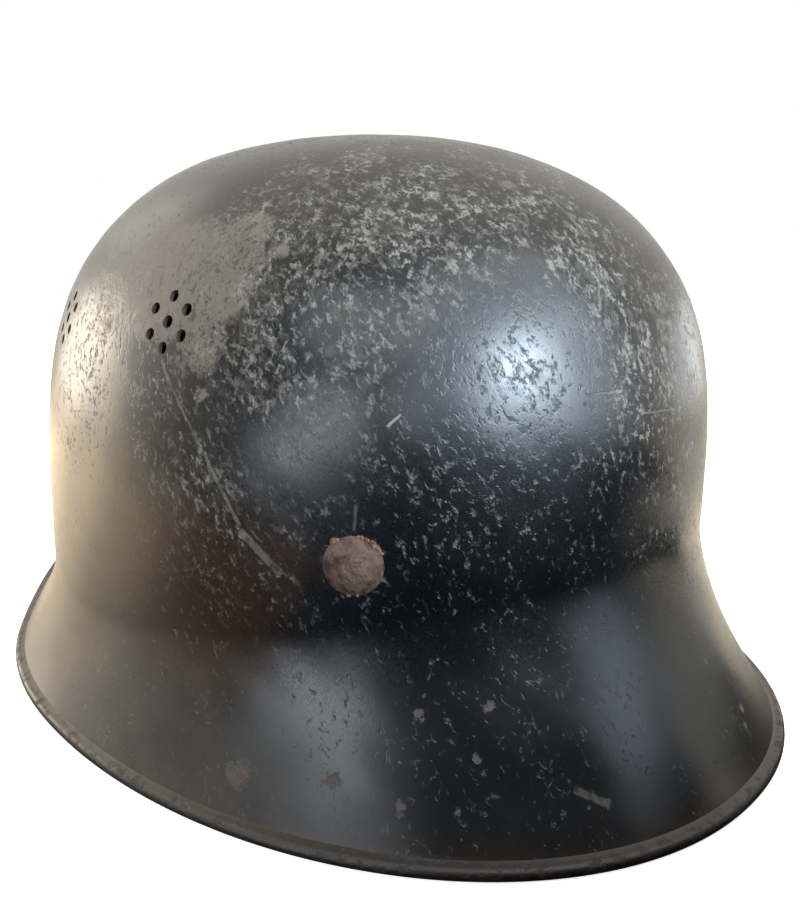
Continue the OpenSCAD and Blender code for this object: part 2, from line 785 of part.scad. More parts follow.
// Buckle frame of round wire: bar in the strap's fold, two sides and the roller's bar
module buckle_frame() {
  half = frame_w / 2;
  color(steel)
    stowed()
      along(buckle_at) {
        for (z = [0, -buckle_len])
          translate([0, half, z])
            rotate([90, 0, 0])
              cylinder(r = buckle_bar_r, h = frame_w, $fn = fine);
        for (s = [-1, 1]) {
          translate([0, s * half, -buckle_len])
            cylinder(r = buckle_bar_r, h = buckle_len, $fn = fine);
          for (z = [0, -buckle_len])
            translate([0, s * half, z])
              sphere(r = buckle_bar_r, $fn = fine);
        }
      }
}

module buckle_roller() {
  length = frame_w - 2 * buckle_bar_r - 0.6;
  color(steel)
    stowed()
      along(buckle_at)
        translate([0, length / 2, -buckle_len])
          rotate([90, 0, 0])
            difference() {
              cylinder(r = roller_r, h = length, $fn = fine);
              translate([0, 0, -1])
                cylinder(r = roller_bar_r + slip, h = length + 2, $fn = fine);
            }
}

// Tongue: an eye round the frame's bar and an arm that rests on the roller
module buckle_tongue() {
  eye_r = buckle_bar_r + slip + tongue_t;
  rest = roller_r + 0.15;
  tip = -buckle_len - roller_r;
  color(steel)
    stowed()
      along(buckle_at)
        difference() {
          union() {
            across(tongue_w)
              circle(r = eye_r, $fn = fine);
            across(tongue_w)
              polygon([[eye_r / 2, eye_r / 2], [eye_r - 0.2, 0.5], [rest + tongue_t, -4],
                       [rest + tongue_t, tip], [rest + 0.5, tip - 1.5], [rest, tip - 1],
                       [rest, -4.5], [eye_r / 2, -eye_r / 2 - 0.5]]);
          }
          rotate([90, 0, 0])
            cylinder(r = buckle_bar_r + slip, h = 2 * tongue_w, center = true, $fn = fine);
        }
}

module strap_keeper() {
  inside_t = 2 * (strap_t + keeper_gap);
  inside_w = strap_w + 2 * keeper_gap;
  color(dark_tan)
    stowed()
      along(buckle_at)
        translate([0, 0, -keeper_place])
          difference() {
            cube([inside_t + 2 * keeper_wall, inside_w + 2 * keeper_wall, keeper_w], center = true);
            cube([inside_t, inside_w, keeper_w + 2], center = true);
          }
}

shell();
pin_front_left();
pin_front_right();
pin_rear_left();
pin_rear_right();
pin_washers();
outer_band();
inner_band();
spring_front();
spring_front_left();
spring_front_right();
spring_rear_left();
spring_rear_right();
spring_rear();
outer_spring_rivets();
inner_spring_rivets();
leather_liner();
crown_lace();
bracket_left();
bracket_right();
bracket_rivets();
pivot_left();
pivot_right();
bale_left();
bale_right();
strap_buckle_half();
strap_tip_half();
stud_left();
stud_right();
buckle_frame();
buckle_roller();
buckle_tongue();
strap_keeper();
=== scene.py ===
import math

import bmesh
import bpy
import numpy as np
from mathutils import Matrix, Vector
from mathutils.noise import fractal


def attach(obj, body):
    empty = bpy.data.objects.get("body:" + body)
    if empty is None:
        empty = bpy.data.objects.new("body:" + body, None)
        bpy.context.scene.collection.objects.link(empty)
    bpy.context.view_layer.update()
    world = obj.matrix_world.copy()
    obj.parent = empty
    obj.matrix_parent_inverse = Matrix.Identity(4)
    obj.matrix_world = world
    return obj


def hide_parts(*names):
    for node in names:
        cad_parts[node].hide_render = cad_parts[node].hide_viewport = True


# Worn steel service helmet with its leather liner and chin strap.
# Sizes are in millimetres and become metres when a mesh is made.
# Front is -Y, the wearer's left is +X, angles turn from the front to the left.

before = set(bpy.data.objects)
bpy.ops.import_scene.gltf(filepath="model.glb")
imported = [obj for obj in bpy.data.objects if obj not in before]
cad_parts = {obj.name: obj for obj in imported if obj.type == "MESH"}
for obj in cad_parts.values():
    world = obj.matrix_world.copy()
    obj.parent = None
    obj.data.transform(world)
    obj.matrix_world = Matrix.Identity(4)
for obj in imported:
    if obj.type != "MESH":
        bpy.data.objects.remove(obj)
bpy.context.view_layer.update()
millimetre = 0.001
middleY = -7.5
scene = bpy.context.scene


# the photograph's camera, and the lamps that its reflections show
cameraSetup = {
    "place": (182.244, 197.989, 123.837),
    "back": (0.68582267, 0.69376863, 0.2198462),
    "right": (-0.71324873, 0.70077965, 0.01356952),
    "focalPixels": 790.57,
    "picture": (800, 912),
    "sensor": 36.0,
}

studio = {
    "worldColour": (0.98, 0.945, 0.86),
    "worldLevel": (0.95, 0.012),         # at the light end and at the dark end
    "worldFade": (-0.12, 0.95),
    "darkSide": (0.72, 0.66, 0.10),      # towards the dark end of the room
    "floorHalf": 4.0, "floorPale": (0.80, 0.80, 0.79, 1),
    "floorGlow": (0.78, 1.0),            # near the object and far from it
    "floorNear": (0.16, 0.42),
    # the floor as other rays see it: painted shade towards the dark end of the room and painted
    # warm light towards the light end
    "floorPaintedShade": (0.010, 0.013, 0.019),
    "floorPaintedLight": (0.87, 0.745, 0.58),
    "floorSide": (-0.62, -0.78),         # towards the light end of the floor
    "floorFade": (-0.70, 0.45),
    "centre": (0, 0, 0.09),
    "lamps": [
        # name, turn from the front, rise, distance, width, height, colour, power
        ("blueWindow", 171, 18.5, 1.3, 0.36, 0.36, (0.74, 0.88, 1.0), 7.6),
        ("windowFrame", 176, 17, 1.35, 0.75, 0.75, (0.72, 0.87, 1.0), 10.6),
        ("windowGlow", 180, 12, 1.5, 1.70, 1.30, (0.66, 0.83, 1.0), 19.5),
        ("highGlow", 176, 46, 1.35, 1.10, 0.80, (0.74, 0.86, 1.0), 6.2),
        ("paleWall", 120, 36, 1.4, 1.10, 0.60, (0.80, 0.90, 1.0), 4.4),
        ("paleDoor", 137, 12, 1.5, 0.62, 0.44, (0.76, 0.88, 1.0), 1.9),
        ("sideDoor", 95, -5, 1.5, 0.40, 0.34, (0.84, 0.90, 1.0), 3.1),
        ("doorEdge", 108, 6, 1.5, 0.44, 0.40, (0.84, 0.90, 1.0), 2.3),
        ("whiteWall", 258, 4, 1.5, 0.70, 0.40, (0.93, 0.97, 1.0), 2.0),
        ("warmWindow", 21, -2, 1.5, 0.46, 0.96, (1.0, 0.885, 0.72), 14.5),
        ("warmHigh", 12, 30, 1.5, 0.70, 0.50, (1.0, 0.92, 0.78), 1.3),
        ("ceiling", 165, 78, 1.6, 1.5, 1.5, (0.95, 1.0, 0.95), 1.5),
    ],
    # a low strip that only the flared guard mirrors
    "lowSheen": {"turn": 183, "height": 0.046, "distance": 0.187, "size": (0.100, 0.018),
                 "facing": 201, "tilt": 12, "power": 0.0010, "spread": 44,
                 "colour": (0.70, 0.84, 1.0)},
    # light the floor before the visor and on the far side, from above
    "tableLights": [
        # place, size, power, spread, colour
        ((0.12, -0.48, 1.2), 0.4, 3.4, 38, (1.0, 0.87, 0.69)),
        ((-0.15, 0.16, 1.2), 0.16, 0.18, 15, (1.0, 0.96, 0.90)),
    ],
    # black cards behind the camera: distance, turns, lower and upper edge at each turn
    "cards": [
        (200, (130, 136, 175, 191, 193, 206, 218), (0.5, 0.5, 0.5, 0.5, 48, 48, 50),
         (56, 82, 84, 79, 78, 66, 56)),
        (205, (200, 226), (0.5, 0.5), (26, 26)),
        (300, (130, 145, 160, 172, 185, 192, 202), (0.5, 0.5, 0.5, 0.5, 0.5, 0.5, 0.5),
         (80, 90, 100, 96, 90, 86, 80)),
    ],
}


def makeCamera():
    back = Vector(cameraSetup["back"])
    right = Vector(cameraSetup["right"])
    up = back.cross(right)
    data = bpy.data.cameras.new("photoCamera")
    data.sensor_fit = "VERTICAL"
    data.sensor_height = cameraSetup["sensor"]
    data.sensor_width = cameraSetup["sensor"]
    data.lens = cameraSetup["focalPixels"] / cameraSetup["picture"][1] * cameraSetup["sensor"]
    data.clip_start = 0.01
    camera = bpy.data.objects.new("photoCamera", data)
    scene.collection.objects.link(camera)
    rows = [[right[i], up[i], back[i], cameraSetup["place"][i] * millimetre] for i in range(3)]
    camera.matrix_world = Matrix([*rows, [0, 0, 0, 1]])
    scene.camera = camera


def aim(turn, rise):
    a, e = math.radians(turn), math.radians(rise)
    return Vector((math.sin(a) * math.cos(e), -math.cos(a) * math.cos(e), math.sin(e)))


def makeLamp(name, place, target, size, power, colour, spread=180):
    data = bpy.data.lights.new(name, "AREA")
    data.shape = "RECTANGLE"
    data.size, data.size_y = size
    data.color, data.energy, data.spread = colour, power, math.radians(spread)
    lamp = bpy.data.objects.new(name, data)
    scene.collection.objects.link(lamp)
    lamp.location = place
    lamp.rotation_euler = (Vector(place) - Vector(target)).to_track_quat("Z", "Y").to_euler()
    lamp.visible_camera = False
    return lamp


def makeLamps():
    centre = Vector(studio["centre"])
    for name, turn, rise, distance, width, height, colour, power in studio["lamps"]:
        makeLamp(name, centre + distance * aim(turn, rise), centre, (width, height), power, colour)
    low = studio["lowSheen"]
    place = low["distance"] * aim(low["turn"], 0) + Vector((0, 0, low["height"]))
    makeLamp("lowSheen", place, place - aim(low["facing"], low["tilt"]), low["size"], low["power"],
             low["colour"], low["spread"])
    for place, size, power, spread, colour in studio["tableLights"]:
        below = (place[0], place[1], 0)
        lamp = makeLamp("tableLight", place, below, (size, size), power, colour, spread)
        lamp.visible_glossy = False


def makeCards():
    black = bpy.data.materials.new("blackCard")
    tree = newTree(black)
    surface(tree, put(tree, "ShaderNodeBsdfDiffuse", {"Color": (0.004, 0.004, 0.004, 1)}))
    for i, (distance, turns, lower, upper) in enumerate(studio["cards"]):
        steps = np.linspace(turns[0], turns[-1], 45)
        edges = [np.interp(steps, turns, heights).tolist() for heights in (lower, upper)]
        points = [distance * aim(turn, 0) + Vector((0, 0, z))
                  for turn, *pair in zip(steps.tolist(), *edges) for z in pair]
        faces = [(2 * k, 2 * k + 2, 2 * k + 3, 2 * k + 1) for k in range(len(steps) - 1)]
        thing = meshObject("blackCard" + str(i + 1), points, faces, [black], smooth=False)
        thing.visible_camera = False


makeCamera()
makeLamps()
print("camera and lamps made")


# a value on its way between nodes, so that a material reads as plain sums
class Flow:
    def __init__(self, tree, socket):
        self.tree, self.socket = tree, socket

    def then(self, kind, inputs, output=0, **settings):
        return Flow(self.tree, put(self.tree, kind, inputs, **settings).outputs[output])

    def maths(self, operation, a, b=0.0, clamp=False):
        return self.then("ShaderNodeMath", {0: a, 1: b}, operation=operation, use_clamp=clamp)

    def __add__(self, other):
        return self.maths("ADD", self, other)

    def __radd__(self, other):
        return self.maths("ADD", other, self)

    def __sub__(self, other):
        return self.maths("SUBTRACT", self, other)

    def __mul__(self, other):
        return self.maths("MULTIPLY", self, other)

    def __truediv__(self, other):
        return self.maths("DIVIDE", self, other)

    def __abs__(self):
        return self.maths("ABSOLUTE", self)


def put(tree, kind, inputs=None, **settings):
    item = tree.nodes.new(kind)
    for key, value in settings.items():
        setattr(item, key, value)
    for key, value in (inputs or {}).items():
        value = value.socket if isinstance(value, Flow) else value
        if isinstance(value, bpy.types.NodeSocket):
            tree.links.new(value, item.inputs[key])
        else:
            item.inputs[key].default_value = value
    return item


def newTree(owner):
    owner.use_nodes = True
    owner.node_tree.nodes.clear()
    return owner.node_tree


def coordinates(tree, kind):
    return Flow(tree, tree.nodes.new("ShaderNodeTexCoord").outputs[kind])


def newMaterial(name):
    # the material, and the place on the piece in millimetres
    material = bpy.data.materials.new(name)
    return material, scaled(coordinates(newTree(material), "Object"), 1 / millimetre)


def larger(a, b, clamp=False):
    return a.maths("MAXIMUM", a, b, clamp)


def largest(values):
    most = values[0]
    for value in values[1:]:
        most = larger(most, value)
    return most


def vectors(operation, a, b=(0, 0, 0)):
    single = operation in ("DOT_PRODUCT", "LENGTH", "DISTANCE")
    return a.then("ShaderNodeVectorMath", {0: a, 1: b}, "Value" if single else "Vector",
                  operation=operation)


def scaled(a, factor):
    flowing = a if isinstance(a, Flow) else factor
    return flowing.then("ShaderNodeVectorMath", {0: a, "Scale": factor}, operation="SCALE")


def step(value, low, high, start=0.0, end=1.0):
    inputs = {"Value": value, "From Min": low, "From Max": high, "To Min": start, "To Max": end}
    return value.then("ShaderNodeMapRange", inputs, interpolation_type="SMOOTHSTEP")


def noise(place, scale, detail=2.0, rough=0.5, twist=0.0):
    return place.then("ShaderNodeTexNoise", {
        "Vector": place, "Scale": scale, "Detail": detail, "Roughness": rough, "Distortion": twist})


def cells(place, scale):
    item = put(place.tree, "ShaderNodeTexVoronoi", {"Vector": place, "Scale": scale}, feature="F1")
    return Flow(place.tree, item.outputs["Distance"]), Flow(place.tree, item.outputs["Color"])


def mix(share, a, b):
    tree = [value.tree for value in (share, a, b) if isinstance(value, Flow)][0]
    item = put(tree, "ShaderNodeMix", data_type="RGBA", blend_type="MIX")
    for key, value in (("Factor", share), ("A", a), ("B", b)):
        socket = [s for s in item.inputs if s.name == key and s.enabled][0]
        if isinstance(value, Flow):
            tree.links.new(value.socket, socket)
        else:
            socket.default_value = value if key == "Factor" else (*value, 1)
    return Flow(tree, [s for s in item.outputs if s.enabled][0])


def attribute(place, name):
    item = put(place.tree, "ShaderNodeAttribute", attribute_name=name)
    return Flow(place.tree, item.outputs["Fac"])


def finish(material, colour, roughness, height, metallic=0.0, specular=None):
    tree = material.node_tree
    shader = put(tree, "ShaderNodeBsdfPrincipled", {
        "Base Color": colour, "Roughness": roughness, "Metallic": metallic})
    if specular is not None:
        shader.inputs["Specular IOR Level"].default_value = specular
    bump = put(tree, "ShaderNodeBump", {"Height": height, "Distance": millimetre})
    tree.links.new(bump.outputs[0], shader.inputs["Normal"])
    surface(tree, shader)
    return material


def surface(tree, shader, kind="ShaderNodeOutputMaterial"):
    output = tree.nodes.new(kind)
    tree.links.new(shader.outputs[0], output.inputs["Surface"])


def makeWorld():
    world = bpy.data.worlds.new("room")
    scene.world = world
    tree = newTree(world)
    seen = Flow(tree, tree.nodes.new("ShaderNodeLightPath").outputs["Is Camera Ray"])
    dark = Vector(studio["darkSide"]).normalized()
    facing = vectors("DOT_PRODUCT", coordinates(tree, "Generated"), tuple(dark))
    level = step(facing, *studio["worldFade"], *studio["worldLevel"])
    level = seen.then("ShaderNodeMix", {0: seen, 2: level, 3: 1.0}, data_type="FLOAT")
    colour = mix(seen, studio["worldColour"], (1, 1, 1))
    surface(tree, put(tree, "ShaderNodeBackground", {"Color": colour, "Strength": level}),
            "ShaderNodeOutputWorld")


def makeFloor():
    data = bpy.data.meshes.new("floor")
    half = studio["floorHalf"]
    data.from_pydata([(-half, -half, 0), (half, -half, 0), (half, half, 0), (-half, half, 0)],
                     [], [(0, 1, 2, 3)])
    floor = bpy.data.objects.new("floor", data)
    scene.collection.objects.link(floor)
    material = bpy.data.materials.new("paleFloor")
    tree = newTree(material)
    rays = tree.nodes.new("ShaderNodeLightPath")
    place = coordinates(tree, "Object")
    seen = put(tree, "ShaderNodeBsdfDiffuse", {"Color": studio["floorPale"]})
    near = step(vectors("LENGTH", place), *studio["floorNear"], *studio["floorGlow"])
    glow = put(tree, "ShaderNodeEmission", {"Color": (1, 1, 1, 1), "Strength": near})
    shown = put(tree, "ShaderNodeAddShader", {0: seen.outputs[0], 1: glow.outputs[0]})
    # for all but camera rays the floor shows painted shade behind the camera and painted warm light
    # towards the front
    side = vectors("DOT_PRODUCT", vectors("NORMALIZE", place), (*studio["floorSide"], 0))
    paintedFloorLight = mix(step(side, *studio["floorFade"]), studio["floorPaintedShade"], studio["floorPaintedLight"])
    hidden = put(tree, "ShaderNodeBsdfDiffuse", {"Color": paintedFloorLight})
    surface(tree, put(tree, "ShaderNodeMixShader", {
        0: rays.outputs["Is Camera Ray"], 1: hidden.outputs[0], 2: shown.outputs[0]}))
    data.materials.append(material)


makeWorld()
makeFloor()


# points come in millimetres
def meshObject(name, points, faces, materials, smooth=True):
    data = bpy.data.meshes.new(name)
    data.from_pydata((np.asarray(points) * millimetre).tolist(), [], faces)
    for material in materials:
        data.materials.append(material)
    data.validate()
    if smooth:
        data.shade_smooth()
    thing = bpy.data.objects.new(name, data)
    scene.collection.objects.link(thing)
    return thing


def tidyNormals(thing, angle=35):
    # faces look outward, and edges sharper than the angle stay sharp
    tool = bmesh.new()
    tool.from_mesh(thing.data)
    bmesh.ops.recalc_face_normals(tool, faces=tool.faces)
    tool.to_mesh(thing.data)
    tool.free()
    thing.data.shade_smooth()
    thing.data.set_sharp_from_angle(angle=math.radians(angle))


def applyModifiers(thing):
    graph = bpy.context.evaluated_depsgraph_get()
    graph.update()
    data = bpy.data.meshes.new_from_object(thing.evaluated_get(graph))
    thing.modifiers.clear()
    old = thing.data
    thing.data = data
    bpy.data.meshes.remove(old)


def cut(thing, cutters):
    modifier = thing.modifiers.new("holes", "BOOLEAN")
    modifier.operation = "DIFFERENCE"
    modifier.solver = "EXACT"
    modifier.object = cutters
    applyModifiers(thing)
    bpy.data.objects.remove(cutters)


def gridFaces(rows, columns):
    faces = []
    for i in range(rows - 1):
        for j in range(columns):
            a, b = i * columns + j, i * columns + (j + 1) % columns
            faces.append((a, b, b + columns, a + columns))
    return faces


def paintFaces(thing, number, start=0, stop=None):
    # the faces from start to stop get the material of this number
    index = np.zeros(len(thing.data.polygons), np.int32)
    thing.data.polygons.foreach_get("material_index", index)
    index[start:stop] = number
    thing.data.polygons.foreach_set("material_index", index)


# a face over the first ring of points and one over the last
def endFaces(count, total):
    return [tuple(range(count)), tuple(reversed(range(total - count, total)))]


# from the last ring back to the first
def seamFaces(count, last):
    return [(last + j, last + (j + 1) % count, (j + 1) % count, j) for j in range(count)]


def cornerTurns(steps):
    for cx, cy, start in ((1, 1, 0), (-1, 1, 90), (-1, -1, 180), (1, -1, 270)):
        for k in range(steps + 1):
            yield cx, cy, math.radians(start + 90 * k / steps)


def roundedSection(width, thick, radius, steps=3):
    return [(cx * (width / 2 - radius) + radius * math.cos(t),
             cy * (thick / 2 - radius) + radius * math.sin(t)) for cx, cy, t in cornerTurns(steps)]


def sweep(name, places, normals, sides, width, thick, radius, materials):
    section = roundedSection(width, thick, radius)
    points = [place + u * side + v * normal
              for place, normal, side in zip(places, normals, sides) for u, v in section]
    count = len(section)
    faces = gridFaces(len(places), count) + seamFaces(count, len(points) - count)
    thing = meshObject(name, points, faces, materials)
    tidyNormals(thing, 50)
    return thing


def lathe(profile, place, axes, count=48):
    out, sideways, upward = axes
    points = []
    for x, r in profile:
        for k in range(count):
            t = 2 * math.pi * k / count
            points.append(place + x * out + r * (math.cos(t) * sideways + math.sin(t) * upward))
    return points, gridFaces(len(profile), count) + endFaces(count, len(points))


def roughen(points, amount, size):
    return [amount * fractal(Vector(point) / size, 0.8, 2.1, 4) for point in points]


def joined(name, parts, materials, angle=40):
    points, faces = [], []
    for more, shape in parts:
        start = len(points)
        points.extend(tuple(point) for point in more)
        faces.extend(tuple(start + k for k in face) for face in shape)
    thing = meshObject(name, points, faces, materials)
    tidyNormals(thing, angle)
    return thing


def drill(thing, seats, radius, sides, material):
    # each seat is a place, its axes, and where the drill starts and ends along the first of them
    parts = [lathe([(start, radius), (end, radius)], place, axes, sides)
             for place, axes, start, end in seats]
    cut(thing, joined("drill", parts, [material]))


def dress(thing, body, node):
    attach(thing, body)
    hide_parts(node)


makeCards()
print("world, floor and cards made")


shellShape = {
    "waist": (98.0, 111.0, 117.0),          # side, front, rear
    "rim": (110.0, 130.0, 145.0),
    "waistHeight": (33.0, 45.5, 57.0),
    "crownHeight": 165.0,
    "visorRise": 19.0, "visorEnd": 53.0, "visorBlend": 42.0,
    "skin": 1.2, "rollRadius": 1.6, "footCut": 0.9,
    "ovalPower": 2.1, "shoulderPower": 0.64, "swell": 0.064, "lead": 0.36, "leadSoft": 0.1,
    "columns": 480, "domeRows": 96, "skirtRows": 46, "rollRows": 20, "dent": 0.16,
    "topTurn": 89.3, "crowding": 1.06,      # the dome's first row, and how rows gather at the waist
    "outerStop": 1.35, "innerStop": 1.7,    # the skin's ends before the rim, in roll radii
    "rollTurns": (58, -232), "evenFoot": (4, 12),
}
airHoles = {"radius": 1.5, "ring": 6.5, "spread": 18.7, "climb": 36.4, "chamfer": 0.25,
            "reach": 4.0, "sides": 28}
linerPins = {
    "angles": (42.1, -42.1, 137.9, -137.9), "height": 61.5, "hole": 2.45,
    "headRadius": 7.0, "headHeight": 2.4,
    "shank": 2.3, "leg": 11.0, "legWidth": 4.0, "legThick": 1.0, "slit": 0.4,
    "washerGap": 0.3, "washerThick": 0.8,
    "holeReach": 3.0, "holeChamfer": 0.1, "holeSides": 32,
    "edge": [(0.0, 6.2), (0.0, 6.85), (0.22, 7.0)],    # of the head, from below: height, radius
    "capRows": (6.93, 0.12, 34), "headSides": 96, "crust": 1.5,
    "legRows": 15, "legStart": 0.4, "legRound": 1.2, "legBend": (0.10, 2.2),
}
bands = {
    "outer_band": {"inset": 2.6, "thick": 0.9, "bottom": 52.0, "height": 19.0},
    "inner_band": {"inset": 11.5, "thick": 0.7, "bottom": 49.5, "height": 20.0},
    "seat": 0.1, "edgeRadius": 0.25,
}


def soft(x):
    # a smooth step from 0 to 1
    c = np.clip(x, 0, 1)
    return c * c * (3 - 2 * c)


def oval(a, sizes):
    side, front, rear = sizes
    power = shellShape["ovalPower"]
    # the front half and the rear half have their own length
    ends = np.where(np.cos(a) > 0, front, rear)
    return (np.abs(np.sin(a) / side) ** power + np.abs(np.cos(a) / ends) ** power) ** (-1 / power)


def waistZ(a):
    side, front, rear = shellShape["waistHeight"]
    return side - (rear - front) / 2 * np.cos(a) + ((rear + front) / 2 - side) * np.cos(a) ** 2


def rimZ(a):
    turn = np.degrees(np.abs((a + np.pi) % (2 * np.pi) - np.pi))
    rise = soft((shellShape["visorEnd"] - turn) / shellShape["visorBlend"])
    return shellShape["footCut"] * shellShape["rollRadius"] + shellShape["visorRise"] * rise


def domeRZ(a, t):
    waist = oval(a, shellShape["waist"])
    r = waist * np.cos(t) ** shellShape["shoulderPower"] * (
        1 + shellShape["swell"] * np.sin(2 * t) ** 2)
    return r, waistZ(a) + (shellShape["crownHeight"] - waistZ(a)) * np.sin(t)


def skirtRZ(a, u):
    s = shellShape["leadSoft"]
    ease = (np.sqrt(u * u + s * s) - s) / (np.sqrt(1 + s * s) - s)
    share = shellShape["lead"] * ease + (1 - shellShape["lead"]) * u * u
    waist, rim = oval(a, shellShape["waist"]), oval(a, shellShape["rim"])
    return waist + (rim - waist) * share, waistZ(a) + (rimZ(a) - waistZ(a)) * u


def around(a, r, z):
    a, r, z = np.broadcast_arrays(a, r, z)
    return np.stack([r * np.sin(a), middleY - r * np.cos(a), z], -1)


def bandR(a, inset):
    return oval(a, tuple(size - inset for size in shellShape["waist"]))


def heading(a):
    d = np.radians(0.5)
    ahead = around(a + d, oval(a + d, shellShape["waist"]), 0)
    behind = around(a - d, oval(a - d, shellShape["waist"]), 0)
    way = ahead - behind
    return np.arctan2(way[..., 1], way[..., 0]) - np.pi / 2


def dent(p):
    x, y, z = p[..., 0], p[..., 1], p[..., 2]
    wave = (np.sin(x / 13 + 1.1) * np.sin(y / 17 + 0.4) * np.sin(z / 15 + 2.0)
            + 0.7 * np.sin(x / 7.3 + y / 9.1 + 0.6) * np.sin(z / 8.2 - y / 12.0)
            + 0.35 * np.sin(x / 3.9 - z / 4.6) * np.sin(y / 4.3 + z / 5.7))
    return shellShape["dent"] * wave


# a place on the dome, and the ways out of it, sideways and up along it
def domeAxes(angle, t):
    a = math.radians(angle)
    r, z = domeRZ(np.array(a), t)
    r0, z0 = domeRZ(np.array(a), max(t - math.radians(0.5), 0))
    r1, z1 = domeRZ(np.array(a), t + math.radians(0.5))
    rise = math.atan2(-(r1 - r0), z1 - z0)
    h = float(heading(np.array(a)))
    out = Vector((math.cos(h) * math.cos(rise), math.sin(h) * math.cos(rise), math.sin(rise)))
    sideways = Vector((-math.sin(h), math.cos(h), 0))
    return Vector(around(a, r, z).tolist()), (out, sideways, out.cross(sideways))


# the same for a liner pin, which lies level, and how deep the outer band lies behind it
def pinAxes(angle):
    a = math.radians(angle)
    height = linerPins["height"]
    waist = float(waistZ(np.array(a)))
    climb = math.asin((height - waist) / (shellShape["crownHeight"] - waist))
    r = float(domeRZ(np.array(a), climb)[0])
    h = float(heading(np.array(a)))
    out = Vector((math.cos(h), math.sin(h), 0))
    sideways = Vector((-math.sin(h), math.cos(h), 0))
    outer = bands["outer_band"]
    depth = r - float(bandR(np.array(a), outer["inset"] + outer["thick"]))
    depth *= math.cos(h - a + math.pi / 2)
    return Vector(around(a, r, height).tolist()), (out, sideways, Vector((0, 0, 1))), depth


def makeShell(materials):
    s = shellShape
    columns = s["columns"]
    a = np.linspace(0, 2 * np.pi, columns, endpoint=False)
    climbs = np.radians(s["topTurn"]) * np.linspace(1, 0, s["domeRows"]) ** s["crowding"]
    shares = np.linspace(0, 1, s["skirtRows"] + 1)[1:]
    roll = s["rollRadius"]

    def outline(limit):
        rows = [domeRZ(a, t) for t in climbs]
        slant = np.hypot(oval(a, s["rim"]) - oval(a, s["waist"]), rimZ(a) - waistZ(a))
        rows += [skirtRZ(a, u * (1 - limit / slant)) for u in shares]
        return np.array([r for r, z in rows]), np.array([z for r, z in rows])

    def bumps(r, z):
        foot, reach = s["evenFoot"]
        return dent(around(a[None, :], r, z)) * soft((z - foot) / reach)

    def normals(r, z):
        dr, dz = np.gradient(r, axis=0), np.gradient(z, axis=0)
        length = np.hypot(dr, dz)
        return -dz / length, dr / length

    r, z = outline(s["outerStop"] * roll)
    nr, nz = normals(r, z)
    bend = bumps(r, z)
    outerR, outerZ = r + bend * nr, z + bend * nz
    # the rolled edge, from the groove above it, round the outside and up inside
    edgeR, edgeZ = oval(a, s["rim"]), rimZ(a)
    r1, z1 = skirtRZ(a, np.ones_like(a))
    r0, z0 = skirtRZ(a, np.full_like(a, 0.99))
    first = np.arctan2(r1 - r0, z0 - z1)
    turns = np.radians(np.linspace(*s["rollTurns"], s["rollRows"]))
    rollR = np.array([edgeR + roll * np.cos(first + t) for t in turns])
    rollZ = np.array([edgeZ + roll * np.maximum(np.sin(first + t), -s["footCut"]) for t in turns])
    # the inside of the skin
    keep = list(range(len(r) - 2, 0, -2))
    r, z = outline(s["innerStop"] * roll)
    nr, nz = normals(r, z)
    bend = bumps(r, z) - s["skin"]
    innerR, innerZ = (r + bend * nr)[keep], (z + bend * nz)[keep]
    allR = np.concatenate([outerR, rollR, innerR])
    allZ = np.concatenate([outerZ, rollZ, innerZ])
    points = around(a[None, :], allR, allZ).reshape(-1, 3)
    rows = len(allR)
    crown = s["crownHeight"]
    lift = float(dent(np.array([0, middleY, crown])))
    points = np.vstack([points, [0, middleY, crown + lift], [0, middleY, crown + lift - s["skin"]]])
    faces = gridFaces(rows, columns)
    top, under = len(points) - 2, len(points) - 1
    last = (rows - 1) * columns
    faces += [(top, (j + 1) % columns, j) for j in range(columns)]
    faces += [(under, last + j, last + (j + 1) % columns) for j in range(columns)]
    thing = meshObject("shellSkin", points, faces, materials)
    paintFaces(thing, 1, (len(outerR) + len(rollR) - 2) * columns, last)
    paintFaces(thing, 1, -columns)
    tidyNormals(thing)
    return thing


def makeHoleCutters(materials):
    parts = []

    def add(place, axes, radius, reach, chamfer, sides):
        # a drill that widens at the skin, to break the edge
        profile = [(-reach, radius), (-chamfer, radius), (0.04, radius + chamfer),
                   (4.0, radius + chamfer)]
        parts.append(lathe(profile, place, axes, sides))

    for side in (90, -90):
        for spread in (-airHoles["spread"], airHoles["spread"]):
            place, axes = domeAxes(side + spread, math.radians(airHoles["climb"]))
            for i in range(7):
                t = math.radians(60 * i)
                shift = Vector() if i == 6 else airHoles["ring"] * (
                    math.cos(t) * axes[2] + math.sin(t) * axes[1])
                add(place + shift, axes, airHoles["radius"], airHoles["reach"],
                    airHoles["chamfer"], airHoles["sides"])
    for angle in linerPins["angles"]:
        place, axes, depth = pinAxes(angle)
        add(place, axes, linerPins["hole"], linerPins["holeReach"], linerPins["holeChamfer"],
            linerPins["holeSides"])
    cutters = joined("holeCutters", parts, materials)
    paintFaces(cutters, 2)
    return cutters


